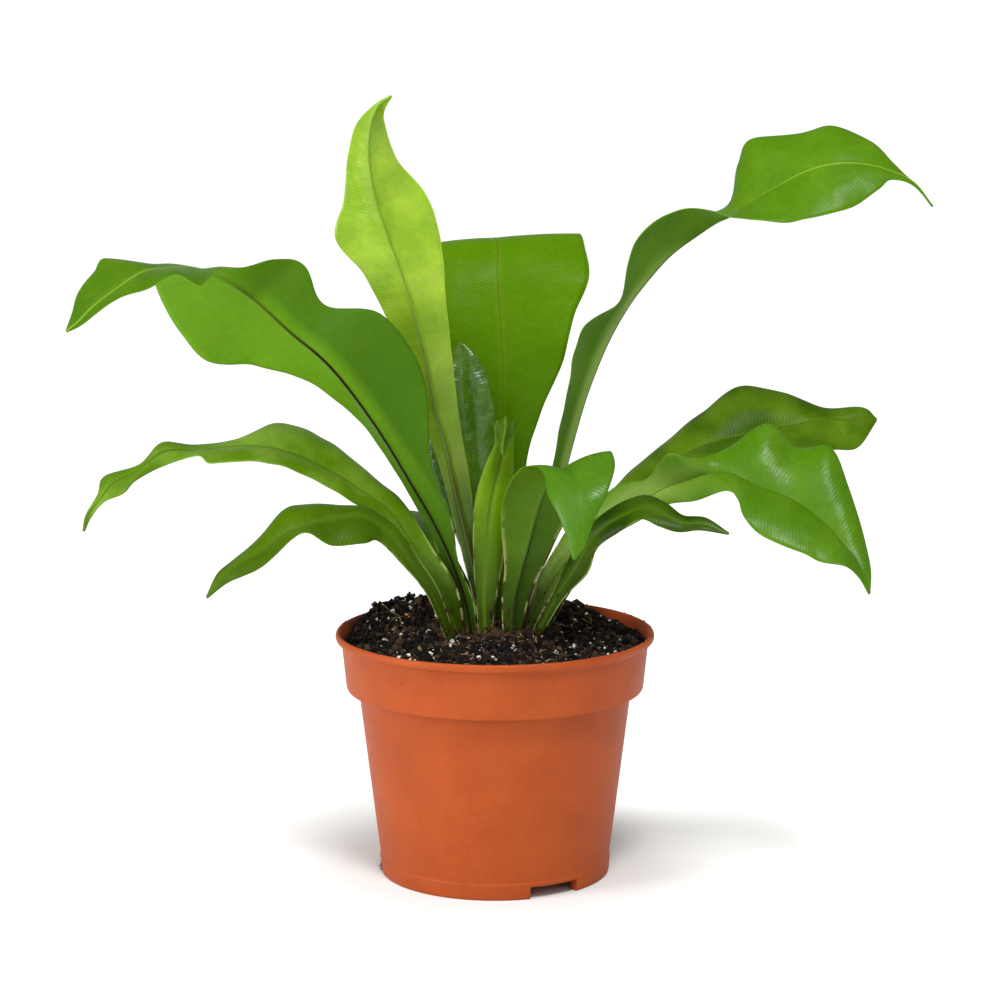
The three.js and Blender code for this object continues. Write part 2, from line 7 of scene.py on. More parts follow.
import bmesh
import bpy
import numpy as np
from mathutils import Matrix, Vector


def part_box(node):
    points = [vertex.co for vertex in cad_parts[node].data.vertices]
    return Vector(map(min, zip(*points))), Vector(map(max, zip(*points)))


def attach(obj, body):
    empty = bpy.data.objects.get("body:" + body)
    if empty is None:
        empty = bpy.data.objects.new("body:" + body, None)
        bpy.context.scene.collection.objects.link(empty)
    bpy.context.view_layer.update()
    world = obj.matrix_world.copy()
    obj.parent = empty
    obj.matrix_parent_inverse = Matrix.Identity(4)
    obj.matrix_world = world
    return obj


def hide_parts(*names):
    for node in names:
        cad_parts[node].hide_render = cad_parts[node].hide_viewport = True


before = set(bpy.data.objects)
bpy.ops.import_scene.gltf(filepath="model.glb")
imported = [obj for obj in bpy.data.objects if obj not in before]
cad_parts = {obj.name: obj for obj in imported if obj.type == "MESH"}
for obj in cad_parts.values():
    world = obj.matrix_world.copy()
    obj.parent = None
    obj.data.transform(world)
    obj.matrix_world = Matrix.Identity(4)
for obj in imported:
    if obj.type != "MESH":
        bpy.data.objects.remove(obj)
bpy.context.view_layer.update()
potLow, potHigh = (np.array(corner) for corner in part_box("pot"))
potAxis = 1000 * (potLow + potHigh) / 2 * [1, 1, 0]
print("stage: frame loaded, pot axis at", potAxis.round(2), "mm")

# Meshes

# Places in mm about the pot's axis, turned to metres in the frame
def inFrame(points):
    return (np.asarray(points, float) + potAxis) / 1000


# Quads of a grid of points, counted row by row. wrap joins the last column to the first
def gridFaces(rows, columns, wrap=False):
    i, j = np.meshgrid(np.arange(rows - 1), np.arange(columns if wrap else columns - 1), indexing="ij")
    beside = (j + 1) % columns
    corners = [i * columns + j, i * columns + beside, (i + 1) * columns + beside, (i + 1) * columns + j]
    return np.stack(corners, axis=-1).reshape(-1, 4)


# A closed form of rings that are joined one to the next, with a fan from each end ring to its middle point.
# Its faces look outwards where the rings run from the bottom up round the outside, or with turnedOver from
# the top down
def closedRings(rings, middles, turnedOver=False):
    count, sides, _ = rings.shape
    points = np.vstack([rings.reshape(-1, 3), middles])
    around = np.arange(sides)
    beside, last = (around + 1) % sides, (count - 1) * sides
    firstFan = np.stack([beside, around, np.full(sides, len(points) - 2)], axis=-1)
    lastFan = np.stack([last + around, last + beside, np.full(sides, len(points) - 1)], axis=-1)
    groups = [gridFaces(count, sides, wrap=True), firstFan, lastFan]
    return points, [group[:, ::-1] for group in groups] if turnedOver else groups


# Puts points in mm and groups of faces into a mesh object that rides on the part
def addPiece(name, points, faceGroups, material, replaced=(), values=None, creaseDegrees=None):
    corners = np.concatenate([group.ravel() for group in faceGroups])
    sizes = np.concatenate([np.full(len(group), group.shape[1]) for group in faceGroups])
    mesh = bpy.data.meshes.new(name)
    mesh.vertices.add(len(points))
    mesh.vertices.foreach_set("co", inFrame(points).ravel())
    mesh.loops.add(len(corners))
    mesh.loops.foreach_set("vertex_index", corners)
    mesh.polygons.add(len(sizes))
    mesh.polygons.foreach_set("loop_start", np.cumsum(sizes) - sizes)
    for key, value in (values or {}).items():
        mesh.attributes.new(key, "FLOAT", "POINT").data.foreach_set("value", np.ravel(value))
    mesh.update(calc_edges=True)
    mesh.validate()
    mesh.shade_smooth()
    if creaseDegrees:
        mesh.set_sharp_from_angle(angle=math.radians(creaseDegrees))
    mesh.materials.append(material)
    piece = bpy.data.objects.new(name, mesh)
    bpy.context.collection.objects.link(piece)
    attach(piece, "root")
    if replaced:
        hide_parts(*replaced)
    return piece


# Lengths of vectors
def lengthOf(vectors):
    return np.linalg.norm(vectors, axis=-1, keepdims=True)


# Vectors brought to length 1
def unit(vectors):
    return vectors / np.maximum(lengthOf(vectors), 1e-9)


# A soft step: 0 below start, 1 past end, with 3u^2 - 2u^3 between them
def softStep(value, start, end):
    u = np.clip((value - start) / (end - start), 0, 1)
    return u * u * (3 - 2 * u)


# Smooth lumps: random heights from -1 to 1 on a square lattice of that cell, blended by soft steps, as far
# as reach mm from the axis
def lumpyNoise(x, y, cell, seed, reach=70):
    cells = 2 * math.ceil(reach / cell) + 4
    lattice = np.random.default_rng(seed).uniform(-1, 1, (cells, cells))
    across, along = x / cell + cells / 2, y / cell + cells / 2
    i, j = np.floor(across).astype(int), np.floor(along).astype(int)
    u, v = softStep(across - i, 0, 1), softStep(along - j, 0, 1)
    near = lattice[i, j] * (1 - u) + lattice[i + 1, j] * u
    far = lattice[i, j + 1] * (1 - u) + lattice[i + 1, j + 1] * u
    return near * (1 - v) + far * v


# Crumbs: each is a 20-sided lump whose corners are pushed in and out at random, then stretched, turned at
# random and moved to its place. Each has a random shade from 0 to 1
def crumbField(centres, sizes, stretch, random, leastPush=0.5, mostPush=1.35):
    form = bmesh.new()
    bmesh.ops.create_icosphere(form, subdivisions=1, radius=1)
    corners = np.array([corner.co for corner in form.verts])
    faces = np.array([[corner.index for corner in face.verts] for face in form.faces])
    form.free()
    count = len(centres)
    shapes = corners * random.uniform(leastPush, mostPush, (count, len(corners), 1)) * stretch
    turns = np.linalg.qr(random.normal(size=(count, 3, 3)))[0]
    turns[:, :, 0] *= np.sign(np.linalg.det(turns))[:, None]
    points = np.einsum("nij,nkj->nki", turns, shapes) * sizes[:, None, None] + centres[:, None]
    faces = faces + len(corners) * np.arange(count)[:, None, None]
    shade = np.repeat(random.uniform(0, 1, count), len(corners))
    return points.reshape(-1, 3), faces.reshape(-1, 3), shade


# Strands: a round profile carried along each path, thinning to a point at both ends
def strandField(paths, radius, sides=6):
    count, rows, _ = paths.shape
    steepAside = [0.3, 0.2, 1.0]       # a direction that no strand takes
    along = unit(np.gradient(paths, axis=1))
    across = unit(np.cross(along, steepAside))
    up = np.cross(across, along)
    turn = np.linspace(0, 2 * math.pi, sides, endpoint=False)
    thin = radius * np.sqrt(np.sin(math.pi * np.linspace(0.02, 0.98, rows)))[None, :, None, None]
    ring = across[:, :, None] * np.cos(turn)[:, None] + up[:, :, None] * np.sin(turn)[:, None]
    points = paths[:, :, None] + thin * ring
    faces = gridFaces(rows, sides, wrap=True)[:, ::-1]
    ends = np.array([np.arange(sides), (rows - 1) * sides + np.arange(sides)[::-1]])
    shift = rows * sides * np.arange(count)[:, None, None]
    return points.reshape(-1, 3), [(faces + shift).reshape(-1, 4), (ends + shift).reshape(-1, sides)]


# Materials

# Turns an sRGB hex colour to linear red, green, blue and alpha
def linearColour(hexCode):
    srgb = [int(hexCode[i:i + 2], 16) / 255 for i in (1, 3, 5)]
    return [c / 12.92 if c <= 0.04045 else ((c + 0.055) / 1.055) ** 2.4 for c in srgb] + [1]


# A material with its name and the shader's own settings, and the tree and shader to work on
def newMaterial(name, roughness, ior=1.45, specular=0.5):
    material = bpy.data.materials.new(name)
    material.use_nodes = True
    shader = material.node_tree.nodes["Principled BSDF"]
    shader.inputs["Roughness"].default_value = roughness
    shader.inputs["IOR"].default_value = ior
    shader.inputs["Specular IOR Level"].default_value = specular
    return material, material.node_tree, shader


# Adds a node with its own settings, the values of its sockets and the links into them
def addNode(tree, kind, sockets=None, links=None, **settings):
    node = tree.nodes.new("ShaderNode" + kind)
    for key, value in settings.items():
        setattr(node, key, value)
    for key, value in (sockets or {}).items():
        node.inputs[key].default_value = value
    for key, source in (links or {}).items():
        tree.links.new(source, node.inputs[key])
    return node


# Peat, perlite, bark and scales: a band of colours over a fine grain, to which each bit adds ownShade times
# its own shade. The grain also gives the bump, bumpDepth mm deep
def grainyMaterial(look):
    material, tree, shader = newMaterial(look["name"], look["roughness"], look["ior"], look["specular"])
    place = addNode(tree, "TexCoord").outputs["Object"]
    grain = addNode(tree, "TexNoise", look["grain"], {"Vector": place}).outputs["Fac"]
    shade = addNode(tree, "Attribute", attribute_name="shade").outputs["Fac"]
    tone = addNode(tree, "Math", {1: look["ownShade"]}, {0: shade, 2: grain}, operation="MULTIPLY_ADD")
    ramp = addNode(tree, "ValToRGB", links={"Fac": tone.outputs[0]})
    band = ramp.color_ramp.elements
    for index, (position, colour) in enumerate(look["band"]):
        stop = band[index] if index < len(band) else band.new(position)
        stop.position, stop.color = position, linearColour(colour)
    tree.links.new(ramp.outputs["Color"], shader.inputs["Base Color"])
    if look["bump"]:
        bump = addNode(tree, "Bump", {"Strength": look["bump"], "Distance": look["bumpDepth"] / 1000},
                       {"Height": grain})
        tree.links.new(bump.outputs["Normal"], shader.inputs["Normal"])
    return material


# Fronds

# What a blade is like all over: sizes in mm
blade = {
    "thickness": 0.45, "tipHalfWidth": 0.5,
    "edgeThinning": 0.5,           # the share of the thickness lost at the edges, by the eighth power of s
    "rowSpacing": 1.1, "columns": 45,
    "columnSpread": 1.6,           # above 1 brings the columns closer together at the midrib
    "ribFootDepth": 2.2, "ribFootHalfWidth": 1.3,
    "ribTipDepth": 0.3, "ribTipHalfWidth": 0.45,
    "ribFade": 1.3,                # above 1 thins the rib sooner
    "ridge": 0.12, "ridgeHalfWidth": 0.7,        # the fine ridge over the midrib on the upper side
    "waveHeight": 0.3, "waveLength": 23,
    "shortWaveShare": 0.6, "shortWaveTurns": 1.9,     # a second wave, in shares and turns of the first
    "foldHeight": 0.03, "foldLength": 7, "foldWander": 1.5, "foldWanderTurns": 0.4,
    "fullWaveHalfWidth": 20,       # a narrower half of a blade waves less
    "waveStart": 0.25,             # the share of the length over which waves and folds grow from nothing
    "veinSlant": 0.35,             # how far a vein runs towards the tip for each mm away from the midrib
}

# What every leaf has unless its look or the frond itself says otherwise. A noise's scale is in cells a
# metre: clouds of lighter tissue are 17 mm across, the mottle 2 mm, and brown patches and flecks on the
# stalk 6 mm and 1 mm
everyLeaf = {
    "ior": 1.42, "scatter": (0.35, 1.0, 0.1), "scatterDepth": 1.2,
    "clouds": {"Scale": 60, "Detail": 2, "Roughness": 0.45}, "mottle": {"Scale": 480, "Detail": 2},
    "patches": {"Scale": 170, "Detail": 2}, "flecks": {"Scale": 900, "Detail": 2},
    "veinSpacing": 1.3,            # a little coarser than the real veins, so that they show
    "veinWander": 2.4, "veinRelief": 0.35, "fineBump": 0.2, "fineDepth": 0.2,
    "buckleSize": 12, "buckleDepth": 2, "glossBreak": 0.25, "underGloss": 0.4,
    # The deeper green towards each frond's foot, and over one half of some blades, is painted shade
    "besideReach": 2.5, "besideEnd": 1.0, "footShadeShare": 0.9,
    "shadedSide": 1, "shadedReach": 7, "shadedShare": 0, "shadedEnd": 0.5,
    "paper": "#b0b070", "brownPaper": "#3a2812", "scurf": "#3a2416",
}

# Leaf colours by age. light is the tone of clouds, veins and margin, and beside that of the tissue beside
# the midrib. besideEnd and keelEnd are the shares of the length at which that tissue's paleness and the
# brown under the midrib end. Two colours are painted shade: the deeper green towards the foot, as far as
# its reach, and the deeper green of one half, 1 right or -1 left, as far as its end. Reaches, ribWidth,
# buckleSize and depths are in mm
leafLooks = {
    "mature": {
        "slot": "frond_green",
        "upper": "#3a6000", "under": "#507c06", "light": "#62860e", "clouding": 0.25, "veins": 0.08,
        "rib": "#435e0a", "ribWidth": 0.3, "keel": "#191004", "keelEnd": 0.7,
        "beside": "#688a1c", "besideShare": 0.15, "footShade": "#2c4304", "footShadeReach": 42,
        "gloss": 0.2, "specular": 0.12, "translucency": 0.08, "buckle": 0.35,
    },
    "young": {
        "slot": "frond_young",
        "upper": "#517400", "under": "#537604", "light": "#7a9a16", "clouding": 0.3, "veins": 0.1,
        "rib": "#2c3008", "ribWidth": 0.5, "keel": "#2b220a", "keelEnd": 0.75,
        "beside": "#7c9a2c", "besideShare": 0.25, "footShade": "#263c04", "footShadeReach": 55,
        "gloss": 0.22, "specular": 0.15, "translucency": 0.1, "buckle": 0.4,
    },
    "lime": {
        "slot": "frond_lime",
        "upper": "#6e9416", "under": "#729616", "light": "#aec83a", "clouding": 0.45, "veins": 0.09,
        "rib": "#5f8412", "ribWidth": 0.15, "keel": "#3a3208", "keelEnd": 0.5,
        "beside": "#86a42c", "besideShare": 0.2, "besideReach": 1.6,
        # The deeper green painted towards the foot reaches over most of this frond's length: painted shade
        "footShade": "#183800", "footShadeShare": 1.0, "footShadeReach": 150,
        "gloss": 0.2, "underGloss": 0.2, "specular": 0.4, "translucency": 0.12, "buckle": 1.0,
    },
}

# Each frond is three curves through given points, in mm: its midrib and its two edges, left and
# right as seen from its upper side with the tip up. The tip closes the edges. cup is how deep each half is
# cupped, as a share of its width. The look is mature unless given, and own holds what differs from it
# Several fronds' own upper and under colours are set lighter or darker than their look to match how bright
# each frond shows: painted light and painted shade
fronds = {
    "frond_lime_upright": {
        "cup": 0.08, "look": "lime",
        "midrib": [[-4, -1, 88], [-5, -1, 102], [-7.5, -1, 116], [-12, -1, 135], [-15.5, -1, 150.5],
            [-18, -1, 163], [-22, 0, 177], [-25, 0, 194], [-30, 0, 214], [-35, -1, 229], [-40, -2, 243],
            [-44, -3, 256], [-46, -5, 270], [-45, -8, 282], [-42, -11, 289], [-37.5, -14, 292.5]],
        "left": [[-2.5, -1, 88], [-3.5, -1, 102], [-4.5, -1, 116], [-7.5, -1, 135.5], [-9.5, -1, 152],
            [-12, 0, 165], [-14, 1, 179], [-16, 2, 197], [-18, 3, 216], [-19, 3, 231], [-21, 4, 244],
            [-26, 4, 257], [-36, 2, 269], [-40, -4, 282], [-40, -9, 287]],
        "right": [[-5.5, -1, 88], [-7.5, -1, 102], [-11, -1, 116], [-15.5, -1, 135], [-19.5, -1, 150.5],
            [-23, 0, 162], [-28, 1, 175], [-32, 2, 191], [-41, 3, 212], [-49, 3, 227], [-59, 3, 240],
            [-55.5, 3, 255], [-54, 0, 270], [-50.5, -6, 282], [-43.5, -10, 289.5]],
    },
    "frond_left_high": {
        "cup": 0.06,
        # Painted shade: the deeper green over the left half and far up from the foot. The lighter under
        # colour is painted light
        "own": {"under": "#5c8a12", "rib": "#6a8c22", "ribWidth": 0.35, "keelEnd": 0.6, "footShade": "#1b4200",
                "footShadeReach": 130, "shadedSide": -1, "shadedShare": 0.7, "shadedEnd": 0.66},
        "midrib": [[-8, -9, 89], [-11, -10, 106], [-16, -12, 121], [-23, -14, 137], [-32.5, -16, 154],
            [-46, -19, 176], [-60, -21, 195], [-74, -23, 208], [-85, -27, 219], [-92, -32, 225],
            [-97, -37, 229], [-102, -44, 232], [-107, -50, 234], [-115, -54, 234], [-123, -59, 233],
            [-131, -64, 228], [-139, -69, 222], [-144, -72, 217], [-148, -74, 214]],
        "left": [[-6, -9, 89], [-8, -9, 105.5], [-13.5, -10, 120.5], [-16, -12, 137.5], [-23.5, -14, 159],
            [-26, -12, 190], [-41, -12, 213], [-62, -14, 217], [-69, -20, 232], [-78.5, -30, 235],
            [-88, -48, 234], [-96, -62, 234], [-102, -67, 229], [-110, -67, 233], [-119.5, -69, 228.5],
            [-129.5, -71, 225.5], [-137, -73, 220.5], [-143, -74, 216]],
        "right": [[-10.5, -9, 89], [-13, -9, 106], [-19.5, -11, 121], [-27, -12, 137.5], [-35.5, -12.5, 153],
            [-49.5, -13, 173.5], [-68.5, -13, 188.5], [-88, -14, 194.5], [-104.5, -17, 196.5],
            [-114, -21, 207], [-120, -25, 219], [-122, -30, 226], [-123, -36, 232], [-126, -43, 234],
            [-137, -50, 237], [-140.5, -56, 233], [-145, -63, 226.5], [-146.5, -69, 220]],
    },
    "frond_left_arching": {
        "cup": 0.1,
        "own": {"upper": "#486a00", "under": "#6c8c28", "light": "#87a444", "clouding": 0.35, "veins": 0.07},
        "midrib": [[-13, -9, 91], [-20, -11, 110], [-28, -13, 123.5], [-38, -16, 139.5], [-47.5, -18, 147.5],
            [-60, -20, 156], [-74, -22, 163], [-86, -24, 166], [-98, -26, 166], [-109, -28, 165],
            [-120, -30, 165], [-130, -32, 158], [-138, -34, 154], [-143, -36, 148], [-147, -38, 143],
            [-148.5, -39, 137.5]],
        "left": [[-14.5, -9, 91], [-22, -11, 110.5], [-31.5, -14, 126], [-41.5, -20, 139], [-52, -27, 146],
            [-65, -32, 155], [-78, -36, 161], [-88, -38, 163], [-102, -38, 162], [-107.5, -36, 164.5],
            [-121.5, -32, 159.5], [-130, -34, 155], [-134, -38, 151], [-141, -38, 148], [-146, -38, 142]],
        "right": [[-11, -8, 91], [-14, -13, 111.5], [-22.5, -13.5, 125.5], [-32.5, -9, 141],
            [-41.5, -8, 149.5], [-56.5, -6, 161.5], [-69.5, -5, 169.5], [-82.5, -8, 172], [-94.5, -15, 167],
            [-109, -20, 166], [-121, -26, 168], [-129, -30, 160.5], [-142, -28, 156], [-144, -33, 150],
            [-148, -37, 143]],
    },
    "frond_left_low": {
        "cup": 0.1,
        "own": {"upper": "#365100"},
        "midrib": [[-16.5, -12.5, 91], [-23.5, -19, 110], [-31.5, -25, 122.5], [-39, -31, 135],
            [-48.5, -35, 142], [-58, -39, 142], [-67, -42, 140], [-76, -44, 137], [-84, -47, 132],
            [-92, -50, 128], [-98, -52, 123], [-103, -54, 116]],
        "left": [[-18, -13, 91], [-25, -21, 110], [-33, -28, 122], [-42, -36, 133], [-47, -44, 134],
            [-58.5, -49, 134], [-67, -50, 139], [-72.5, -51, 136.5], [-82, -54, 128], [-90, -55, 124],
            [-96, -54, 121]],
        "right": [[-14.5, -12, 91], [-20.5, -17, 110.5], [-28, -22, 124], [-35.5, -26, 136],
            [-45.5, -29, 144], [-57, -30, 145.5], [-69, -30, 146], [-77, -34, 144], [-85, -39, 135.5],
            [-94.5, -44, 127.5], [-99.5, -50, 124]],
    },
    "frond_back_tall": {
        "cup": 0.02,
        # The deeper green painted towards the foot reaches far up this frond: painted shade
        "own": {"upper": "#487000", "clouding": 0.1, "rib": "#4c6009", "ribWidth": 0.2, "footShade": "#264a00",
                "footShadeReach": 125, "specular": 0.05},
        "midrib": [[2, 5, 88], [2.5, 6.5, 106.5], [3.5, 9, 123.5], [4, 12, 140.5], [4, 15, 157], [3, 18, 174],
            [3, 21, 191], [2, 25, 207], [1, 30, 222], [1, 38, 233], [0, 48, 236], [0, 64, 233], [0, 82, 224],
            [1, 96, 211], [2, 106, 196]],
        "left": [[0, 5, 88], [-0.5, 5.5, 107], [-2.5, 7.5, 124], [-6.5, 9.5, 141], [-11, 13, 157.5],
            [-16, 16, 174], [-21, 20, 191], [-25, 24, 207], [-27, 30, 220], [-26, 39, 231], [-23.5, 50, 234],
            [-20, 66, 229], [-16, 83, 221], [-10, 97, 210]],
        "right": [[4, 5, 88], [6, 5.5, 107], [8.5, 7.5, 124], [11, 9, 141], [12.5, 11.5, 158], [18, 14, 175],
            [25.5, 17, 192], [30, 21, 209.5], [35.5, 26, 222.5], [34.5, 35, 232.5], [32, 47, 237.5],
            [23.5, 64, 231], [17, 82, 221.5], [11, 96, 211]],
    },
    "frond_back_inner": {
        "cup": 0.12,
        "own": {"upper": "#2c5200", "under": "#2c5200", "gloss": 0.16, "underGloss": 0.16, "specular": 0.6,
                "buckle": 0.9, "buckleSize": 7},
        "midrib": [[-2, 1, 89], [-3.5, 1.5, 107.5], [-5, 3, 124.5], [-7, 4, 141], [-9, 6, 158], [-11, 8, 173],
            [-12, 10, 186], [-12, 12, 194], [-13, 13, 200]],
        "left": [[-3.5, 1, 89], [-6, 1.5, 107.5], [-13.5, 2.5, 125], [-20, 3.5, 142], [-25, 5.5, 159],
            [-24.5, 8, 173], [-21, 10, 184], [-18, 12, 193]],
        "right": [[-0.5, 1, 89], [-0.5, 1.5, 107.5], [-1, 2, 124.5], [-0.5, 3, 141.5], [0, 4, 160],
            [0, 6, 173], [-2, 8.5, 185], [-7, 11, 195]],
    },
    "frond_young_centre": {
        "cup": 0.14, "look": "young",
        "own": {"under": "#2c4a00", "rib": "#4c680c", "keelEnd": 0.65, "besideEnd": 0.8},
        "midrib": [[-3.5, -10, 89], [-4, -10.5, 106], [-3.5, -10, 120.5], [-2.5, -9, 136.5],
            [-0.5, -8, 148.5], [2, -7, 158], [3, -7, 166], [4, -9, 172], [4, -13, 175], [4, -17, 172],
            [3, -18, 166], [3, -18, 162]],
        "left": [[-6, -10, 89], [-7, -10, 106], [-8, -9, 120.5], [-8, -8, 136], [-6.5, -8, 147.5],
            [-3, -8, 158], [0, -8, 165], [0, -10, 172], [1, -13, 174], [0, -16, 171], [1, -17, 166]],
        "right": [[-1.5, -10, 89], [0.5, -10, 106], [3, -9, 121], [5, -7, 135], [6.5, -6, 146.5],
            [7, -5, 155], [7, -7, 165], [8, -9, 171], [7, -13, 174], [7, -16, 171], [6, -17, 166]],
    },
    "frond_front_folded": {
        "cup": 0.07,
        "own": {"upper": "#3b6500", "under": "#426500", "light": "#56790a", "rib": "#406400",
                "keel": "#2a3a08", "keelEnd": 0.5, "besideShare": 0, "specular": 0.25, "buckle": 0.5},
        "midrib": [[6, -9, 89], [7, -12, 106.5], [10, -15, 119.5], [13.5, -19, 133], [16.5, -24, 145.5],
            [20, -30, 155], [24, -38, 159.5], [28, -48, 159.5], [30, -57, 155], [30, -62, 146],
            [29, -64, 138], [28, -65, 132]],
        "left": [[9, -9, 89], [13, -11, 107.5], [19, -14, 121.5], [24.5, -17, 134], [29.5, -22, 144],
            [35, -28, 154], [40.5, -37, 166.5], [43, -48, 163.5], [40, -58, 155], [35, -62, 145],
            [32, -64, 137]],
        "right": [[3, -9, 89], [2.5, -11, 106.5], [3.5, -14, 118.5], [2.5, -18, 133], [2.5, -23, 144.5],
            [6, -29, 155], [11.5, -35, 160.5], [17, -44, 160.5], [19, -53, 153], [23, -60, 146],
            [26, -63, 138]],
    },
    "frond_right_tall": {
        "cup": 0.05,
        "own": {"upper": "#426a02", "under": "#3d6404", "rib": "#76922c", "ribWidth": 0.1,
                "beside": "#98ac64", "besideShare": 0.35, "besideReach": 5, "besideEnd": 0.5,
                "specular": 0.11, "buckle": 0.5},
        "midrib": [[9, 3, 88.5], [12.5, 5, 107], [17.5, 7, 124], [23.5, 9, 146.5], [29, 11, 167],
            [34, 12, 183], [41, 13, 200], [49, 15, 214], [57.5, 16, 225], [65.5, 16, 233.5], [75, 16, 240.5],
            [82.5, 15, 245.5], [88, 14, 248], [96, 12, 253], [104, 10, 258], [115, 7, 264], [125, 5, 267],
            [135, 4, 267], [144, 3, 265], [154, 2, 260.5], [161, 1, 252]],
        "left": [[7.5, 4, 88.5], [11, 9, 107], [16, 14, 123.5], [21, 17, 147], [26.5, 22, 168.5],
            [31, 24, 185], [38.5, 25, 203], [48.5, 24, 216.5], [53.5, 26, 229], [62.5, 27, 238.5],
            [73, 27, 246], [82, 27, 247.5], [88.5, 26, 252], [91.5, 27, 265.5], [95.5, 25, 275],
            [113, 22, 277], [125, 19, 280.5], [139, 12, 275], [147, 7, 267.5], [152.5, 3, 261.5]],
        "right": [[10.5, 2, 88.5], [13, 1, 107.5], [16.5, 0, 124], [20, 0, 147], [24.5, -1, 171],
            [28, -4, 190], [32.5, -4, 207.5], [46, 8, 215.5], [49.5, 4, 231], [55, 3, 243], [68, 5, 250],
            [80, 4, 250], [87, -2, 248], [96, -4, 247], [106, -6, 246.5], [118, -7, 248.5], [130.5, -6, 252],
            [140.5, -3, 258], [145.5, 0, 261.5], [153.5, 1, 259.5]],
    },
    "frond_right_back": {
        "cup": 0.1,
        "own": {"upper": "#335200", "light": "#6b8c1c", "clouding": 0.5, "specular": 0.06},
        "midrib": [[13.5, 6, 90.5], [21, 11, 107], [30.5, 14, 121.5], [43, 19, 134.5], [55.5, 23, 145.5],
            [69, 27, 153], [83, 30, 159], [98, 33, 162], [113, 35, 165], [127, 36, 167], [138, 37, 167],
            [147, 38, 167]],
        "left": [[12.5, 8, 90.5], [20.5, 14, 107], [30, 21, 122], [40.5, 28, 136.5], [50.5, 34, 146],
            [65.5, 40, 158], [81, 45, 169.5], [94, 47, 178.5], [112, 46, 176.5], [126.5, 44, 171],
            [141.5, 41, 171.5]],
        "right": [[14.5, 4.5, 90.5], [22.5, 8, 106], [32, 11, 119.5], [43.5, 13, 132.5], [59.5, 14, 142],
            [73, 15, 148], [86, 15, 153], [101, 18, 154], [115, 22, 155], [128, 27, 157], [139, 32, 157]],
    },
    "frond_right_broad": {
        "cup": 0.08,
        "own": {"slot": "frond_young", "upper": "#3d6600", "rib": "#3f6500", "beside": "#9ab454",
                "besideShare": 0.52, "besideReach": 13, "besideEnd": 0.5, "specular": 0.18, "buckle": 0.6},
        "midrib": [[11, -4, 89], [18.5, -5, 107], [27.5, -7, 120.5], [38, -10, 132.5], [51.5, -14, 141.5],
            [61, -19, 149], [69, -22, 153], [77, -26, 156], [86, -30, 157], [95, -34, 153], [105, -38, 150],
            [114, -43, 145], [122, -49, 138], [128, -55, 131], [131, -59, 125], [133, -62, 119]],
        "left": [[10, -3, 89.5], [14.5, -2, 108.5], [21.5, -2, 122.5], [30.5, -3, 135.5], [45, -7, 148.5],
            [56, -16, 153], [63, -27, 164], [73, -27, 162], [85, -20, 165], [100, -20, 174], [110, -24, 166],
            [122, -30, 166.5], [127.5, -38, 154], [132, -47, 138.5], [134, -56, 127.5]],
        "right": [[12.5, -5, 89.5], [20.5, -8, 106], [30, -12, 118.5], [40.5, -16, 129.5], [54.5, -21, 139],
            [63, -26, 145], [73, -32, 147.5], [84, -38, 152], [87.5, -42, 149.5], [89.5, -48, 143.5],
            [96.5, -54, 138], [109, -58, 133], [117, -60, 130], [124, -62, 129], [129, -61, 125]],
    },
    "frond_right_low": {
        "cup": 0.1,
        # Near-black green: painted shade on a frond that lies low under the others
        "own": {"upper": "#1f3600", "under": "#1f3600", "veins": 0.05},
        "midrib": [[14.5, -9.5, 90], [23, -16, 108.5], [30, -22, 121], [35.5, -27, 132], [43.5, -31, 140],
            [54, -35, 145], [60, -39, 144], [68, -42, 141], [75, -44, 141], [84, -47, 138]],
        "left": [[13.5, -8.5, 90], [21.5, -14, 109.5], [27.5, -19, 124], [34, -23, 136], [43, -26, 144],
            [54, -29, 149], [62, -33, 147], [68, -37, 143], [76, -42, 143]],
        "right": [[16, -10.5, 90], [25, -18, 107.5], [34, -25, 119], [37.5, -30, 129.5], [44.5, -35, 136],
            [52.5, -40, 142], [59, -43, 140], [66, -44, 138], [74, -46, 139]],
    },
    "frond_right_tucked": {
        "cup": 0.1,
        "own": {"upper": "#223c00", "under": "#223c00", "veins": 0.05},
        "midrib": [[17.5, 0, 90], [23.5, 1, 103], [29, 1, 110.5], [34, 1, 118], [38, 0, 124.5], [41, -1, 130],
            [44, -2, 135]],
        "left": [[16, 1.5, 90], [22, 3.5, 103.5], [27.5, 4, 111.5], [31.5, 4, 119], [35.5, 2, 126],
            [40, 0, 132]],
        "right": [[19, -1.5, 90], [25.5, -1.5, 102.5], [30.5, -2.5, 111], [35.5, -3, 117.5], [38, -3, 125],
            [42, -3, 131]],
    },
    "frond_back_left_low": {
        "cup": 0.1,
        "midrib": [[-4, 6, 88.5], [-11.5, 10, 106], [-19, 16, 118], [-26, 25, 126.5], [-32, 37, 129],
            [-37, 52, 128], [-41, 68, 123], [-44, 82, 117], [-45, 92, 111]],
        "left": [[-5.5, 5, 88.5], [-13.5, 9, 105.5], [-21.5, 13, 117], [-31, 20, 125.5], [-38, 32, 129],
            [-43, 47, 128], [-46, 64, 123], [-47, 80, 116]],
        "right": [[-2.5, 7, 88.5], [-9, 12, 106.5], [-16, 20, 118.5], [-21, 32, 126], [-26, 44, 128.5],
            [-31, 58, 127], [-36, 73, 123], [-40, 85, 117]],
    },
    "frond_back_low": {
        "cup": 0.1,
        "midrib": [[5, 9, 87.5], [6, 14, 107], [7, 24, 120.5], [7.5, 38, 131], [8, 56, 136.5], [8, 76, 136],
            [8, 96, 130], [7, 114, 118]],
        "left": [[3.5, 9, 87.5], [2.5, 14, 107], [1, 23, 120.5], [-0.5, 36, 130.5], [-1, 54, 135.5],
            [0, 75, 135], [1, 95, 129]],
        "right": [[6.5, 9, 87.5], [9.5, 14, 107], [12, 23, 121], [14.5, 36, 131.5], [16.5, 54, 137],
            [16, 75, 137], [14, 95, 130]],
    },
}
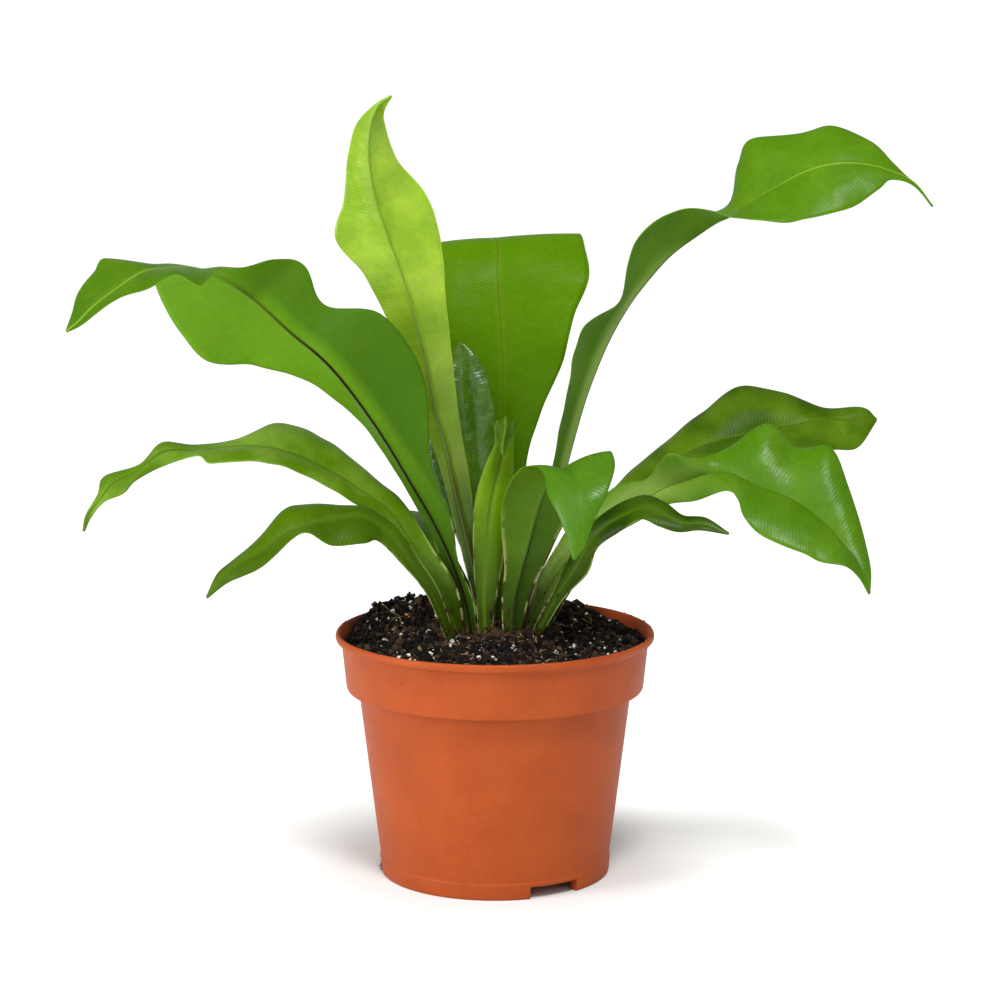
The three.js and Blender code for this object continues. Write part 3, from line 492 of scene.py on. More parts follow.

# A smooth curve through given points: each span is the uniform Catmull-Rom cubic of the
# four points around it, and the ends are carried on in a straight line
def smoothRail(points, t):
    points = np.array(points, float)
    points = np.vstack([2 * points[0] - points[1], points, 2 * points[-1] - points[-2]])
    place = t * (len(points) - 3)
    span = np.minimum(place.astype(int), len(points) - 4)
    u = (place - span)[:, None]
    a, b, c, d = (points[span + i] for i in range(4))
    return 0.5 * (2 * b + (c - a) * u + (2 * a - 5 * b + 4 * c - d) * u**2 + (3 * b - a - 3 * c + d) * u**3)


# The three curves of a frond, with its edges closed across the tip
def frondRails(frond, t):
    tip = np.array(frond["midrib"][-1], float)
    across = unit(np.array(frond["right"][-1]) - np.array(frond["left"][-1])) * blade["tipHalfWidth"]
    return (smoothRail(frond["midrib"], t),
            smoothRail(frond["left"] + [list(tip - across)], t),
            smoothRail(frond["right"] + [list(tip + across)], t))


# The middle sheet of a blade as a function of t, from foot to tip, and s, from -1 at the left edge to 1
# at the right: the midrib plus s times the half blade, cupped by 4s(1-s) of its width.
# The edges wave by the cube of s, and the blade has low folds that follow its veins
def bladeSheet(frond, seed, t, s):
    mid, left, right = frondRails(frond, t)
    along = unit(np.gradient(mid, axis=0))
    steps = np.append(0, np.cumsum(lengthOf(np.diff(mid, axis=0))))
    fromFoot = np.repeat(steps[:, None], len(s), axis=1)
    onLeft = (s < 0)[None, :, None]
    half = np.where(onLeft, (left - mid)[:, None], (right - mid)[:, None])
    width = lengthOf(half)
    up = unit(np.cross(half * np.where(onLeft, -1, 1), along[:, None]))
    out = np.abs(s)[None, :, None]
    sheet = mid[:, None] + half * out + up * frond["cup"] * width * 4 * out * (1 - out)
    fromRib = width[..., 0] * s
    vein = fromFoot - blade["veinSlant"] * np.abs(fromRib)

    phase = np.random.default_rng(seed).uniform(0, 2 * math.pi, (2, 3))[(s > 0).astype(int)]
    turn = 2 * math.pi * fromFoot / blade["waveLength"]
    wave = np.sin(turn + phase[:, 0])
    wave += blade["shortWaveShare"] * np.sin(blade["shortWaveTurns"] * turn + phase[:, 1])
    wander = blade["foldWander"] * np.sin(blade["foldWanderTurns"] * turn + phase[:, 2])
    fold = np.sin(2 * math.pi * vein / blade["foldLength"] + wander)
    broad = np.clip(width[..., 0] / blade["fullWaveHalfWidth"], 0, 1)
    outward = np.abs(s)
    lift = broad * (blade["waveHeight"] * wave * outward**3
                    + blade["foldHeight"] * fold * np.sqrt(outward) * (1 - outward**6))
    grown = softStep(t, 0, blade["waveStart"])[:, None]
    return sheet + up * (lift * grown)[..., None], fromRib, fromFoot, vein


# A frond: the upper and under faces half a thickness off the sheet, joined round both edges, with a
# low ridge above the midrib and a half-round rib, thick at the stalk and thin at the tip, below it
def addFrond(name, frond, seed):
    look = {**everyLeaf, **leafLooks[frond.get("look", "mature")], **frond.get("own", {})}
    length = lengthOf(np.diff(smoothRail(frond["midrib"], np.linspace(0, 1, 200)), axis=0)).sum()
    rows, flat = int(length / blade["rowSpacing"]), blade["columns"]
    t, spread = np.linspace(0, 1, rows), np.linspace(-1, 1, flat)
    s = np.sign(spread) * np.abs(spread) ** blade["columnSpread"]
    sheet, fromRib, fromFoot, vein = bladeSheet(frond, seed, t, s)
    normal = unit(np.cross(np.gradient(sheet, axis=1), np.gradient(sheet, axis=0)))

    fade = (1 - t[:, None]) ** blade["ribFade"]
    ribWidth = blade["ribTipHalfWidth"] + (blade["ribFootHalfWidth"] - blade["ribTipHalfWidth"]) * fade
    ribDepth = blade["ribTipDepth"] + (blade["ribFootDepth"] - blade["ribTipDepth"]) * fade
    rib = ribDepth * np.sqrt(np.clip(1 - (fromRib / ribWidth) ** 2, 0, 1))
    ridge = blade["ridge"] * np.clip(1 - (fromRib / blade["ridgeHalfWidth"]) ** 2, 0, 1)
    half = blade["thickness"] / 2 * (1 - blade["edgeThinning"] * np.abs(s) ** 8)
    down = -normal[:, flat // 2][:, None]
    upper = sheet + normal * (half + ridge)[..., None]
    under = sheet - normal * half[..., None] + down * rib[..., None]

    rings = np.concatenate([upper, under[:, ::-1]], axis=1)
    columns = rings.shape[1]
    j = np.arange(flat - 1)
    footCap = np.stack([j, columns - 1 - j, columns - 2 - j, j + 1], axis=-1)
    tipCap = (rows - 1) * columns + footCap[:, ::-1]
    none = 0 * fromRib
    onSheet = {"fromRib": fromRib, "fromFoot": fromFoot, "vein": vein, "outward": np.abs(s) + none,
               "toTip": t[:, None] + none}
    values = {key: np.concatenate([value, value[:, ::-1]], axis=1) for key, value in onSheet.items()}
    values["underside"] = np.concatenate([none, none + 1], axis=1)
    addPiece(name + "_blade", rings.reshape(-1, 3), [gridFaces(rows, columns, wrap=True), footCap, tipCap],
             leafMaterial(name, look), [name], values)
    return sheet, normal


# Living fern leaf, grown: waxy and glossy above, duller below, with a fine vein every mm or so, paler
# tissue beside the midrib, a dark brown keel under it, and a papery margin and a little brown scurf on
# the stalk, with painted shade as a deeper green towards the foot and over one half of some blades. Its
# attributes are fromRib, fromFoot and vein in mm, and outward, toTip and underside from 0 to 1
def leafMaterial(name, look):
    material, tree, shader = newMaterial("waxy fern leaf " + name, look["gloss"], look["ior"],
                                         look["specular"])
    shader.inputs["Subsurface Weight"].default_value = look["translucency"]
    shader.inputs["Subsurface Radius"].default_value = look["scatter"]
    shader.inputs["Subsurface Scale"].default_value = look["scatterDepth"] / 1000
    place = addNode(tree, "TexCoord").outputs["Object"]
    fromRib, fromFoot, vein, outward, toTip, underside = (
        addNode(tree, "Attribute", attribute_name=key).outputs["Fac"]
        for key in ("fromRib", "fromFoot", "vein", "outward", "toTip", "underside"))
    offRib = addNode(tree, "Math", links={0: fromRib}, operation="ABSOLUTE").outputs[0]

    clouds, mottle, patches, flecks = (
        addNode(tree, "TexNoise", look[key], {"Vector": place}).outputs["Fac"]
        for key in ("clouds", "mottle", "patches", "flecks"))
    buckles = addNode(tree, "TexNoise", {"Scale": 1000 / look["buckleSize"], "Detail": 2, "Roughness": 0.4},
                      {"Vector": place}).outputs["Fac"]

    # The veins are a sine of the vein attribute, which wanders a little with the clouds
    wander = addNode(tree, "Math", {1: look["veinWander"]}, {0: clouds}, operation="MULTIPLY")
    turn = addNode(tree, "Math", {1: 2 * math.pi / look["veinSpacing"]}, {0: vein, 2: wander.outputs[0]},
                   operation="MULTIPLY_ADD")
    ripple = addNode(tree, "Math", links={0: turn.outputs[0]}, operation="SINE").outputs[0]

    # How much there is of each thing: a measure, two values of it, and how much there is at each of them
    ranges = {
        "clouds": (clouds, 0.4, 0.72, 0, look["clouding"]),
        "mottle": (mottle, 0.35, 0.7, 0.94, 1.04),
        "veins": (ripple, 0.2, 1, 0, look["veins"]),
        "beside": (offRib, 0.4, look["besideReach"], look["besideShare"], 0),
        "besideLasts": (toTip, look["besideEnd"] - 0.15, look["besideEnd"], 1, 0),
        "margin": (outward, 0.965, 1, 0, 0.5),
        # Painted shade: a deeper green over one half of some blades and towards each frond's foot
        "shadedHalf": (fromRib, 0, look["shadedReach"] * look["shadedSide"], 0, look["shadedShare"]),
        "shadedHalfLasts": (toTip, look["shadedEnd"] - 0.35, look["shadedEnd"], 1, 0),
        "footShade": (fromFoot, 12, look["footShadeReach"], look["footShadeShare"], 0),
        "rib": (offRib, look["ribWidth"], look["ribWidth"] + 0.3, 1, 0),
        "keel": (toTip, look["keelEnd"] - 0.25, look["keelEnd"], 1, 0),
        "paper": (outward, 0.84, 0.93, 0, 1),
        "paperLasts": (fromFoot, 14, 60, 0.9, 0),
        "browned": (patches, 0.5, 0.58, 0, 1),
        "scurfLasts": (fromFoot, 6, 18, 0.05, -0.2),
        "roughness": (underside, 0, 1, look["gloss"], look["underGloss"]),
    }
    ends = ("From Min", "From Max", "To Min", "To Max")
    amount = {key: addNode(tree, "MapRange", dict(zip(ends, values)), {"Value": measure}).outputs["Result"]
              for key, (measure, *values) in ranges.items()}
    beside, shadedHalf, paper = (
        addNode(tree, "Math", links={0: amount[key], 1: amount[lasts]}, operation="MULTIPLY").outputs[0]
        for key, lasts in (("beside", "besideLasts"), ("shadedHalf", "shadedHalfLasts"), ("paper", "paperLasts")))
    # Painted shade: the larger of the half's shade and the foot's shade
    paintedShade = addNode(tree, "Math", links={0: shadedHalf, 1: amount["footShade"]}, operation="MAXIMUM").outputs[0]
    dense = addNode(tree, "Math", links={0: flecks, 1: amount["scurfLasts"]}, operation="ADD").outputs[0]
    scurf = addNode(tree, "MapRange", {"From Min": 0.58, "From Max": 0.66}, {"Value": dense})

    # The blade's two sides, clouded and mottled, its rib, brown below as far as the keel stays dark, and
    # the stalk's papery margin, which browns in places
    sides = addNode(tree, "Mix", {6: linearColour(look["upper"]), 7: linearColour(look["under"])},
                    {0: underside}, data_type="RGBA")
    clouded = addNode(tree, "Mix", {7: linearColour(look["light"])},
                      {0: amount["clouds"], 6: sides.outputs[2]}, data_type="RGBA")
    mottled = addNode(tree, "VectorMath", links={0: clouded.outputs[2], 1: amount["mottle"]},
                      operation="MULTIPLY")
    keel = addNode(tree, "Mix", {6: linearColour(look["rib"]), 7: linearColour(look["keel"])},
                   {0: amount["keel"]}, data_type="RGBA")
    rib = addNode(tree, "Mix", {6: linearColour(look["rib"])}, {0: underside, 7: keel.outputs[2]},
                  data_type="RGBA")
    papery = addNode(tree, "Mix", {6: linearColour(look["paper"]), 7: linearColour(look["brownPaper"])},
                     {0: amount["browned"]}, data_type="RGBA")

    # Layers of colour, each over the one before: veins, the paler tissue beside the midrib, the thin clear
    # margin, painted shade as a deeper green towards the foot and over one half of some blades, rib, papery
    # margin and scurf
    layers = [
        ({7: linearColour(look["light"])}, {0: amount["veins"]}),
        ({7: linearColour(look["beside"])}, {0: beside}),
        ({7: linearColour(look["light"])}, {0: amount["margin"]}),
        ({7: linearColour(look["footShade"])}, {0: paintedShade}),
        ({}, {0: amount["rib"], 7: rib.outputs[2]}),
        ({}, {0: paper, 7: papery.outputs[2]}),
        ({7: linearColour(look["scurf"])}, {0: scurf.outputs["Result"]}),
    ]
    colour = mottled.outputs[0]
    for sockets, links in layers:
        colour = addNode(tree, "Mix", sockets, {6: colour, **links}, data_type="RGBA").outputs[2]
    tree.links.new(colour, shader.inputs["Base Color"])

    # Gloss is broken a little by the mottle, and the soft buckles break it into patches
    rough = addNode(tree, "Math", {1: look["glossBreak"]}, {0: mottle, 2: amount["roughness"]},
                    operation="MULTIPLY_ADD")
    tree.links.new(rough.outputs[0], shader.inputs["Roughness"])
    height = addNode(tree, "Math", {1: look["veinRelief"]}, {0: ripple, 2: mottle}, operation="MULTIPLY_ADD")
    fine = addNode(tree, "Bump", {"Strength": look["fineBump"], "Distance": look["fineDepth"] / 1000},
                   {"Height": height.outputs[0]})
    bump = addNode(tree, "Bump", {"Strength": look["buckle"], "Distance": look["buckleDepth"] / 1000},
                   {"Height": buckles, "Normal": fine.outputs["Normal"]})
    tree.links.new(bump.outputs["Normal"], shader.inputs["Normal"])
    return material


# Each frond's number seeds its waves
leafSheets = [addFrond(name, frond, seed) for seed, (name, frond) in enumerate(fronds.items(), start=1)]
print("stage:", len(leafSheets), "fronds grown")

# Soil

# Sizes in mm. The first rise is the mound round the plant, and the others are heaps behind it
soil = {
    "edgeRadius": 56.2, "edgeHeight": 89, "ripple": 0.7,
    "rises": [{"x": 0, "y": 0, "height": 6, "spread": 26}, {"x": -41, "y": 27, "height": 7, "spread": 13},
              {"x": -20, "y": 38, "height": 8.5, "spread": 15},
              {"x": 22, "y": 36, "height": 7.5, "spread": 14}],
    "lumps": [(5.2, 0.9), (2.6, 0.7), (1.3, 0.4)], "lumpSeed": 40,     # cell size and height of the clods
    "sunk": 6, "rings": 130, "sides": 400, "shade": 0.35, "seed": 5,
    "side": [(54.4, 72.5), (50, 72.5), (42.2, 6.8), (41.2, 5.3)],
}
crown = {
    "x": 0.5, "y": -1, "halfWidth": 24, "halfDepth": 15, "top": 96, "rim": 93, "foot": 74, "taper": 0.6,
    "lower": 0.8,                  # how far the dome lies below the CAD's, to leave room for its relief
    "lumps": [(2.4, 0.6, 61), (1.2, 0.35, 62)],        # cell size, height and seed of each layer
    "rings": 36, "sides": 160, "shade": 0.25,
    "soilSinks": (0.75, 0.95), "bitsFrom": 0.9,        # in shares of the way out to its rim
}

# Peat, sieved and heaped: black-brown, matt and crumbly. The grain's scale is in cells a metre, so that
# these are 1.7 mm across, a little coarser than sieved peat so that they show
peat = {
    "name": "peat, sieved and heaped", "roughness": 0.95, "ior": 1.4, "specular": 0.25,
    "grain": {"Scale": 600, "Detail": 4, "Roughness": 0.65}, "ownShade": 0.55,
    "band": [(0.35, "#040302"), (0.75, "#0f0a07"), (1, "#3c2d21")], "bump": 0.8, "bumpDepth": 0.6,
}

# Perlite, popped by heat: white, chalky and pitted, with pits of 0.9 mm
perlite = {
    "name": "perlite, popped white", "roughness": 0.9, "ior": 1.5, "specular": 0.3,
    "grain": {"Scale": 1100, "Detail": 3}, "ownShade": 0,
    "band": [(0.3, "#8f877b"), (0.55, "#dcd7cb")], "bump": 0.6, "bumpDepth": 0.4,
}

# Bark and root fibre, chipped and dried: tan to mid brown, matt, with a fine grain of 1.2 mm
bark = {
    "name": "bark fibre, chipped and dried", "roughness": 0.85, "ior": 1.45, "specular": 0.3,
    "grain": {"Scale": 800, "Detail": 2}, "ownShade": 0.6,
    "band": [(0.35, "#3a2617"), (1, "#a98a5f")], "bump": 0,
}

# What lies loose in the soil, in mm. Most bits are near the least size, by that power
bits = [
    {"name": "soil_crumbs", "count": 3600, "least": 0.35, "most": 2, "stretch": [1, 0.9, 0.75], "look": peat},
    {"name": "perlite_grains", "count": 380, "least": 0.3, "most": 1.3, "stretch": [1, 0.9, 0.85],
     "look": perlite},
    {"name": "bark_chips", "count": 90, "least": 0.5, "most": 1.1, "stretch": [2.6, 0.8, 0.45], "look": bark},
]
bitSpread = {"power": 2.2, "fromEdge": 2.2, "lift": 0.25}
fibres = {"count": 110, "fromEdge": 9, "bend": 0.12, "lengths": (2.5, 8), "points": 12, "keepIn": 2,
          "lift": 0.5, "radius": 0.14, "shade": 0.6}


# How far out of the rhizome's oval a point is: 1 on its rim
def fromCrown(x, y):
    return np.hypot((x - crown["x"]) / crown["halfWidth"], (y - crown["y"]) / crown["halfDepth"])


# Points on the soil: the CAD's mound, heaps and ripple, of so many radians for each mm, plus layers of
# clods, sunk under the rhizome
def onSoil(x, y, lift=0):
    height = soil["edgeHeight"] + soil["ripple"] * (
        np.sin(0.55 * x + 1.2) * np.cos(0.5 * y) + 0.6 * np.sin(0.9 * x + 0.7 * y))
    for rise in soil["rises"]:
        away = np.hypot(x - rise["x"], y - rise["y"]) / rise["spread"]
        height = height + rise["height"] * np.exp(-away * away)
    for layer, (cell, clod) in enumerate(soil["lumps"]):
        height = height + clod * lumpyNoise(x, y, cell, soil["lumpSeed"] + layer)
    height = height - soil["sunk"] * (1 - softStep(fromCrown(x, y), *crown["soilSinks"]))
    return np.stack([x, y, height + lift], axis=-1)


# Random places on the soil, clear of the rhizome and inside the pot's wall. Three times as many are drawn
# as are kept, to make up for those that lie under the rhizome
def soilPlaces(count, random, fromEdge):
    turn = random.uniform(0, 2 * math.pi, 3 * count)
    radius = (soil["edgeRadius"] - fromEdge) * np.sqrt(random.uniform(0, 1, 3 * count))
    x, y = radius * np.cos(turn), radius * np.sin(turn)
    clear = fromCrown(x, y) > crown["bitsFrom"]
    return onSoil(x[clear][:count], y[clear][:count])


# The soil's surface is a disc of rings, closed by straight sides and a base inside the pot. Loose bits and
# fine root fibres lie over it
def addSoil():
    radii = soil["edgeRadius"] * np.linspace(0, 1, soil["rings"] + 1)[1:, None]
    turn = np.linspace(0, 2 * math.pi, soil["sides"], endpoint=False)
    relief = onSoil(radii * np.cos(turn), radii * np.sin(turn))
    radius, height = np.array(soil["side"], float).T[:, :, None]
    wall = np.stack([radius * np.cos(turn), radius * np.sin(turn), height + 0 * turn], axis=-1)
    middles = [onSoil(0.0, 0.0), [0, 0, soil["side"][-1][1]]]
    points, groups = closedRings(np.concatenate([relief, wall]), middles, turnedOver=True)
    addPiece("soil_relief", points, groups, grainyMaterial(peat), ["soil"],
             {"shade": np.full(len(points), soil["shade"])})

    random = np.random.default_rng(soil["seed"])
    for kind in bits:
        places = soilPlaces(kind["count"], random, bitSpread["fromEdge"])
        share = random.uniform(0, 1, len(places)) ** bitSpread["power"]
        sizes = kind["least"] + (kind["most"] - kind["least"]) * share
        places[:, 2] += bitSpread["lift"] * sizes
        points, faces, shade = crumbField(places, sizes, kind["stretch"], random)
        addPiece(kind["name"], points, [faces], grainyMaterial(kind["look"]),
                 values={"shade": shade}, creaseDegrees=30)

    # Each fibre starts at a random place and bends a little as it goes
    places = soilPlaces(fibres["count"], random, fibres["fromEdge"])
    heading = random.uniform(0, 2 * math.pi, len(places))[:, None]
    bend = random.uniform(-fibres["bend"], fibres["bend"], len(places))[:, None]
    reach = np.linspace(0, 1, fibres["points"]) * random.uniform(*fibres["lengths"], len(places))[:, None]
    x = places[:, :1] + reach * np.cos(heading + bend * reach)
    y = places[:, 1:2] + reach * np.sin(heading + bend * reach)
    inside = np.minimum(1, (soil["edgeRadius"] - fibres["keepIn"]) / np.hypot(x, y))
    points, groups = strandField(onSoil(x * inside, y * inside, fibres["lift"]), fibres["radius"])
    addPiece("root_fibres", points, groups, grainyMaterial(bark),
             values={"shade": np.full(len(points), fibres["shade"])})


addSoil()
print("stage: soil, perlite and bark laid")

# Rhizome

# Fern scales, grown and dried: papery, red-brown, paler towards their thin edges. Grain of 1.4 mm
scaleLook = {
    "name": "fern scales, grown and dried", "roughness": 0.7, "ior": 1.45, "specular": 0.35,
    "grain": {"Scale": 700, "Detail": 2}, "ownShade": 0.6,
    "band": [(0.35, "#140b07"), (1, "#553c25")], "bump": 0.7, "bumpDepth": 0.5,
}

# Sizes in mm. lean is how far a scale on the dome's rim leans out, and rows are those of the blade's grid
# that carry the scales of a stalk
scales = {
    "rows": 5, "columns": 3, "cup": 0.12, "curl": 0.25, "thickness": 0.12,
    "lengths": (2.2, 5.5), "halfWidths": (0.35, 0.8),
    "onDome": 300, "sunk": 1.2, "lean": 0.7, "rise": 0.8, "domeScatter": 0.35,
    "onStalk": 5, "firstRow": 5, "rowSpan": 6, "offStalk": 0.2, "stalkDepth": 2.0, "stalkLean": 0.1,
    "stalkScatter": 0.15, "seed": 9,
}


# Scales: each is a narrow leaf from its root along its heading, with a half width of w(1-l)^0.8 at share l
# of its length, curling away to its face side by l^2
def scaleField(roots, headings, faceSides, lengths, halfWidths):
    share = np.linspace(0, 1, scales["rows"])[None, :, None, None]
    side = np.linspace(-1, 1, scales["columns"])[None, None, :, None]
    along = unit(headings)[:, None, None]
    across = unit(np.cross(headings, faceSides))[:, None, None]
    face = unit(faceSides)[:, None, None]
    length, halfWidth = lengths[:, None, None, None], halfWidths[:, None, None, None]
    points = (roots[:, None, None] + along * length * share
              + across * halfWidth * side * (1.02 - share) ** 0.8
              + face * length * (scales["curl"] * share**2 - scales["cup"] * side**2))
    each = scales["rows"] * scales["columns"]
    faces = gridFaces(scales["rows"], scales["columns"]) + each * np.arange(len(roots))[:, None, None]
    return points.reshape(-1, 3), faces.reshape(-1, 4), each


# The rhizome: an oval dome that falls by the square of the reach from its middle, with straight sides that
# taper to its foot, and loose scales over it and round the stalks
def addRhizome():
    turn = np.linspace(0, 2 * math.pi, crown["sides"], endpoint=False)
    reach = np.concatenate([np.linspace(0, 1, crown["rings"] + 1)[1:], [1, crown["taper"]]])[:, None]
    height = crown["top"] - (crown["top"] - crown["rim"]) * reach**2
    height[-2:] = [[crown["rim"] - 1], [crown["foot"]]]
    x = crown["x"] + crown["halfWidth"] * reach * np.cos(turn)
    y = crown["y"] + crown["halfDepth"] * reach * np.sin(turn)
    rough = sum(lift * lumpyNoise(x, y, cell, seed) for cell, lift, seed in crown["lumps"])
    rings = np.stack([x, y, height - crown["lower"] + rough * (reach < 1)], axis=-1)
    middles = [[crown["x"], crown["y"], crown[end] - crown["lower"]] for end in ("top", "foot")]
    points, groups = closedRings(rings, middles, turnedOver=True)
    addPiece("rhizome_dome", points, groups, grainyMaterial(scaleLook), ["crown"],
             {"shade": np.full(len(points), crown["shade"])})

    # Scales over the dome lean outwards, and scales round the foot of each stalk point up along it
    random = np.random.default_rng(scales["seed"])
    count = scales["onDome"]
    angle = random.uniform(0, 2 * math.pi, count)
    out = np.sqrt(random.uniform(0, 1, count))
    roots = np.stack([crown["x"] + crown["halfWidth"] * out * np.cos(angle),
                      crown["y"] + crown["halfDepth"] * out * np.sin(angle),
                      crown["top"] - (crown["top"] - crown["rim"]) * out**2 - scales["sunk"]], axis=-1)
    lean = np.stack([scales["lean"] * out * np.cos(angle), scales["lean"] * out * np.sin(angle),
                     np.full(count, scales["rise"])], axis=-1)
    headings = lean + random.normal(0, scales["domeScatter"], (count, 3))
    fields = [(roots, headings, random.normal(size=(count, 3)))]
    for sheet, normal in leafSheets:
        count = scales["onStalk"]
        row = (random.uniform(0, 1, count) ** 1.5 * scales["rowSpan"]).astype(int) + scales["firstRow"]
        column = random.integers(0, blade["columns"], count)
        side = random.choice([-1, 1], count)[:, None]
        offRib = np.abs(column / (blade["columns"] - 1) * 2 - 1)[:, None]
        depth = np.where(side < 0, scales["stalkDepth"] * (1 - offRib) ** 4, 0)
        outwards = normal[row, column] * side
        roots = sheet[row, column] + outwards * (scales["offStalk"] + depth)
        along = unit(sheet[row + 1, column] - sheet[row, column]) + scales["stalkLean"] * outwards
        fields.append((roots, along + random.normal(0, scales["stalkScatter"], (count, 3)), outwards))
    roots, headings, faceSides = (np.concatenate(parts) for parts in zip(*fields))
    lengths, halfWidths = (random.uniform(*scales[key], len(roots)) for key in ("lengths", "halfWidths"))
    points, faces, each = scaleField(roots, headings, faceSides, lengths, halfWidths)
    piece = addPiece("rhizome_scales", points, [faces], grainyMaterial(scaleLook),
                     values={"shade": np.repeat(random.uniform(0, 1, len(roots)), each)})
    piece.modifiers.new("thickness", "SOLIDIFY").thickness = scales["thickness"] / 1000


addRhizome()
print("stage: rhizome and scales done")

# Pot

# Sizes in mm, bearings in degrees from +X
pot = {
    "height": 92.5, "lipRadius": 60, "lipHeight": 3.7,
    "collarTopRadius": 57.8, "collarFootRadius": 56, "shoulderHeight": 71,
    "bodyTopRadius": 51.5, "footRadius": 43, "footRingWidth": 2,
    "wall": 1.2, "floorUnderside": 3.5, "floorTop": 5,
    "notchWidth": 20, "notchHeight": 4.6, "notchDepth": 6, "notchBearings": [-59, 177, 61],
    "sides": 288, "edgeRadius": 0.5,
}
spilt = {"count": 46, "fromRim": (1.6, 0.6), "sizes": (0.2, 0.5), "stretch": [1, 1, 0.8], "seed": 15}
notchRoots = {"count": 26, "notch": 1, "spread": 0.16, "heights": (1.2, 4), "lengths": (1.5, 4), "bend": 0.9,
              "points": 10, "fromFoot": 2, "sag": 0.25, "lowest": 0.25, "radius": 0.16, "shade": -0.1}


# Rounds each corner of an outline with a quadratic curve that starts up to radius away from it
def roundCorners(outline, radius, steps=5):
    before, corner, after = outline[:-2], outline[1:-1], outline[2:]
    cutIn = np.minimum(radius, 0.4 * lengthOf(before - corner)) * unit(before - corner)
    cutOut = np.minimum(radius, 0.4 * lengthOf(after - corner)) * unit(after - corner)
    u = np.linspace(0, 1, steps)[None, :, None]
    start, end = (corner + cutIn)[:, None], (corner + cutOut)[:, None]
    curve = (1 - u) ** 2 * start + 2 * u * (1 - u) * corner[:, None] + u**2 * end
    return np.vstack([outline[:1], curve.reshape(-1, 2), outline[-1:]])


# The turned wall: radius and height from the middle of the underside, round the lip, to the inner floor.
# The small steps of a mm or less are the moulding's bevels
def potOutline():
    lipFoot = pot["height"] - pot["lipHeight"]
    foot, ring, body, shoulder, collar, collarTop, lip, top, wall = (pot[key] for key in (
        "footRadius", "footRingWidth", "bodyTopRadius", "shoulderHeight", "collarFootRadius",
        "collarTopRadius", "lipRadius", "height", "wall"))
    return np.array([
        [0.5, pot["floorUnderside"]], [foot - ring - 1, pot["floorUnderside"]], [foot - ring, 0], [foot, 0],
        [foot + 0.4, 0.6], [foot + 0.8, 6], [foot + 0.5, 6.5], [body, shoulder], [collar - 0.4, shoulder],
        [collar, shoulder + 0.6], [collarTop, lipFoot], [lip - 0.4, lipFoot + 0.8], [lip, lipFoot + 1.6],
        [lip, top - 0.9], [lip - 0.5, top], [lip - 1.4, top], [lip - 2, top - 1],
        [collarTop - wall, lipFoot - 0.8],
        [collar - wall - 0.3, shoulder + wall], [body - wall, shoulder + wall],
        [foot - 0.5, pot["floorTop"] + 1.5], [foot - 1.5, pot["floorTop"]], [0.5, pot["floorTop"]],
    ], float)


# Polypropylene, injection moulded in terracotta colour: satin, with a faint cloudy flow 22 mm across,
# specks of 2.4 mm, paler ones and a few of soil dust, and a moulded grain of 0.7 mm, coarser than the real
# one so that it shows. A layer of colour starts and is full at two values of its noise, and covers a share
plastic = {
    "name": "polypropylene, moulded terracotta", "roughness": 0.5, "ior": 1.49, "specular": 0.16,
    "flow": {"Scale": 45, "Detail": 4, "Roughness": 0.6}, "body": "#963f15",
    "specks": {"Scale": 420, "Detail": 3, "Roughness": 0.7},
    "speckRange": (0.3, 0.7), "speckRoughness": (0.45, 0.6),
    "grain": {"Scale": 1500, "Detail": 2}, "bump": 0.15, "bumpDepth": 0.2,
    "layers": [{"colour": "#a04719", "noise": "flow", "start": 0.35, "full": 0.68, "share": 1},
               {"colour": "#a9582e", "noise": "specks", "start": 0.5, "full": 0.8, "share": 0.35},
               {"colour": "#5c2f1a", "noise": "specks", "start": 0.66, "full": 0.7, "share": 0.55}],
}


# The pot's finish: the layers of colour one over the other, the specks' own roughness and the grain's bump
def plasticMaterial():
    material, tree, shader = newMaterial(*(plastic[key] for key in ("name", "roughness", "ior", "specular")))
    place = addNode(tree, "TexCoord").outputs["Object"]
    noise = {key: addNode(tree, "TexNoise", plastic[key], {"Vector": place}).outputs["Fac"]
             for key in ("flow", "specks", "grain")}
    under = {}
    for layer in plastic["layers"]:
        amount = addNode(tree, "MapRange", {"From Min": layer["start"], "From Max": layer["full"],
                                            "To Max": layer["share"]}, {"Value": noise[layer["noise"]]})
        over = addNode(tree, "Mix", {6: linearColour(plastic["body"]), 7: linearColour(layer["colour"])},
                       {0: amount.outputs["Result"], **under}, data_type="RGBA")
        under = {6: over.outputs[2]}
    tree.links.new(over.outputs[2], shader.inputs["Base Color"])
    ends = dict(zip(("From Min", "From Max", "To Min", "To Max"),
                    plastic["speckRange"] + plastic["speckRoughness"]))
    rough = addNode(tree, "MapRange", ends, {"Value": noise["specks"]})
    tree.links.new(rough.outputs["Result"], shader.inputs["Roughness"])
    bump = addNode(tree, "Bump", {"Strength": plastic["bump"], "Distance": plastic["bumpDepth"] / 1000},
                   {"Height": noise["grain"]})
    tree.links.new(bump.outputs["Normal"], shader.inputs["Normal"])
    return material


